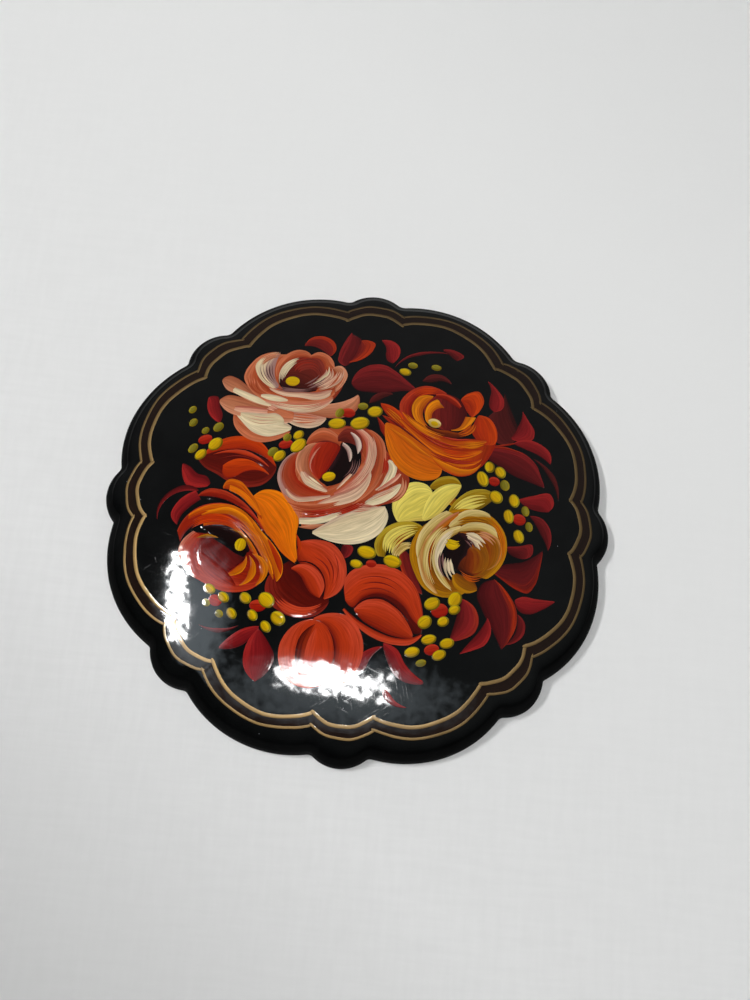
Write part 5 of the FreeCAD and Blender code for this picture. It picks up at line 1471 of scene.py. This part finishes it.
# the dark room: its left, its right, its far wall, and a bright wall under the sheet for the back
ROOM_LEFT = (0.03, 0.035, 0.035, 1.0)
ROOM_RIGHT = (0.12, 0.13, 0.13, 1.0)
FAR_WALL = (0.17, 0.17, 0.17, 1.0)
UNDER_WALL = (0.8, 0.8, 0.8, 1.0)

# each metal: its colour, its roughness, how its grain is stretched and how tarnished it is
METALS = {
    "nickel_plate": ((0.62, 0.6, 0.57, 1.0), 0.26, (0.3, 6.0, 6.0), 0.35),
    "drawn_steel": ((0.56, 0.56, 0.57, 1.0), 0.2, (0.2, 8.0, 8.0), 0.15),
    "brass": ((0.72, 0.5, 0.2, 1.0), 0.24, (1.0, 1.0, 4.0), 0.4),
    "rivet_metal": ((0.5, 0.49, 0.47, 1.0), 0.32, (1.0, 1.0, 1.0), 0.3)}
FINISHES = {"pin_bar": "nickel_plate", "bar_rivets": "rivet_metal", "hinge_bracket": "nickel_plate",
            "hinge_rivet": "rivet_metal", "pin_stem": "drawn_steel", "catch_housing": "nickel_plate",
            "catch_lock": "brass", "adhesive_bed": "resin"}


def ground():
    points = [(across * GROUND_HALF, along * GROUND_HALF, GROUND_Z)
              for across, along in ((-1, -1), (1, -1), (1, 1), (-1, 1))]
    sheet = new_object("ground", points, [(0, 1, 2, 3)], pale_ground())


def aim(holder, direction, turn):
    # points a lamp or a camera along the direction and rolls it by the turn
    holder.rotation_mode = "QUATERNION"
    facing = direction.to_track_quat("-Z", "Y")
    holder.rotation_quaternion = facing @ Quaternion((0.0, 0.0, 1.0), turn)


def soft_light(name, place, width, height, power, turn, colour, ragged):
    """A soft box whose light fades towards its rim, and is patchy where ragged is above zero."""
    lamp = bpy.data.lights.new(name, "AREA")
    lamp.shape = "RECTANGLE"
    lamp.size = width * MM
    lamp.size_y = height * MM
    lamp.energy = power
    lamp.color = colour
    lamp.use_nodes = True
    tree = lamp.node_tree
    tree.nodes.clear()
    spot = add(tree, "NewGeometry").outputs["Parametric"]
    middle = add(tree, "VectorMath", operation="SUBTRACT", _0=spot, _1=(0.5, 0.5, 0.0)).outputs[0]
    flat = scaled(tree, middle, (2.0, 2.0, 0.0))
    reach = add(tree, "VectorMath", operation="LENGTH", _0=flat).outputs["Value"]
    spread = scaled(tree, spot, (width / PATCH_SIZE, height / PATCH_SIZE, 0.0))
    patches = noise(tree, spread, 1.0, 5.0)
    reach = math_node(tree, "ADD", reach, product(tree, patches, ragged))
    fade = ranged(tree, reach, 0.45 + 0.5 * ragged, 1.0 + 0.5 * ragged, 1.0, 0.0)
    glow = add(tree, "Emission", Strength=fade)
    add(tree, "OutputLight", Surface=glow.outputs[0])
    holder = bpy.data.objects.new(name, lamp)
    bpy.context.collection.objects.link(holder)
    holder.location = Vector(place) * MM
    aim(holder, -Vector(place), turn)


def sky():
    world = bpy.data.worlds.new("studio")
    bpy.context.scene.world = world
    world.use_nodes = True
    tree = world.node_tree
    tree.nodes.clear()
    toward = add(tree, "TexCoord").outputs["Generated"]
    across, along, up = add(tree, "SeparateXYZ", Vector=toward).outputs
    behind = ranged(tree, along, 0.0, 0.9)
    tone = mixed(tree, ranged(tree, across, -0.5, 0.5), ROOM_LEFT, ROOM_RIGHT)
    tone = mixed(tree, behind, tone, FAR_WALL)
    tone = mixed(tree, ranged(tree, up, -0.2, -0.6), tone, UNDER_WALL)
    background = add(tree, "Background", Color=tone, Strength=1.0)
    add(tree, "OutputWorld", Surface=background.outputs[0])


def camera():
    lens = bpy.data.cameras.new("camera")
    lens.lens = CAMERA_LENS
    lens.clip_start = 0.005
    holder = bpy.data.objects.new("camera", lens)
    bpy.context.collection.objects.link(holder)
    back = Vector((-math.cos(CAMERA_ELEVATION) * math.sin(CAMERA_AZIMUTH),
                   -math.cos(CAMERA_ELEVATION) * math.cos(CAMERA_AZIMUTH),
                   math.sin(CAMERA_ELEVATION)))
    holder.location = (CAMERA_TARGET + back * CAMERA_DISTANCE) * MM
    aim(holder, -back, CAMERA_ROLL)
    bpy.context.scene.camera = holder


def finish_findings():
    """Better materials on the CAD pieces that stay visible."""
    finishes = {name: plated_metal(name, *look) for name, look in METALS.items()}
    finishes["resin"] = clear_resin()
    for name, finish in FINISHES.items():
        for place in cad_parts[name].material_slots:
            place.material = finishes[finish]


# ---------------------------------------------------------------- the brooch

finish_findings()
brooch_body(black_lacquer())
paint_material = brush_paint()
gold_material = brush_paint("gold_paint", 1.0, 1.0)
gold_band(paint_material)
paint_flowers(paint_material)
gold_line("gold_line_outer", OUTER_LINE, 4.0, 0.7, gold_material)
gold_line("gold_line_inner", INNER_LINE, 1.0, 0.95, gold_material)

ground()
for soft in SOFT_LIGHTS:
    soft_light(*soft)
sky()
camera()
bpy.context.scene.view_settings.view_transform = "Standard"
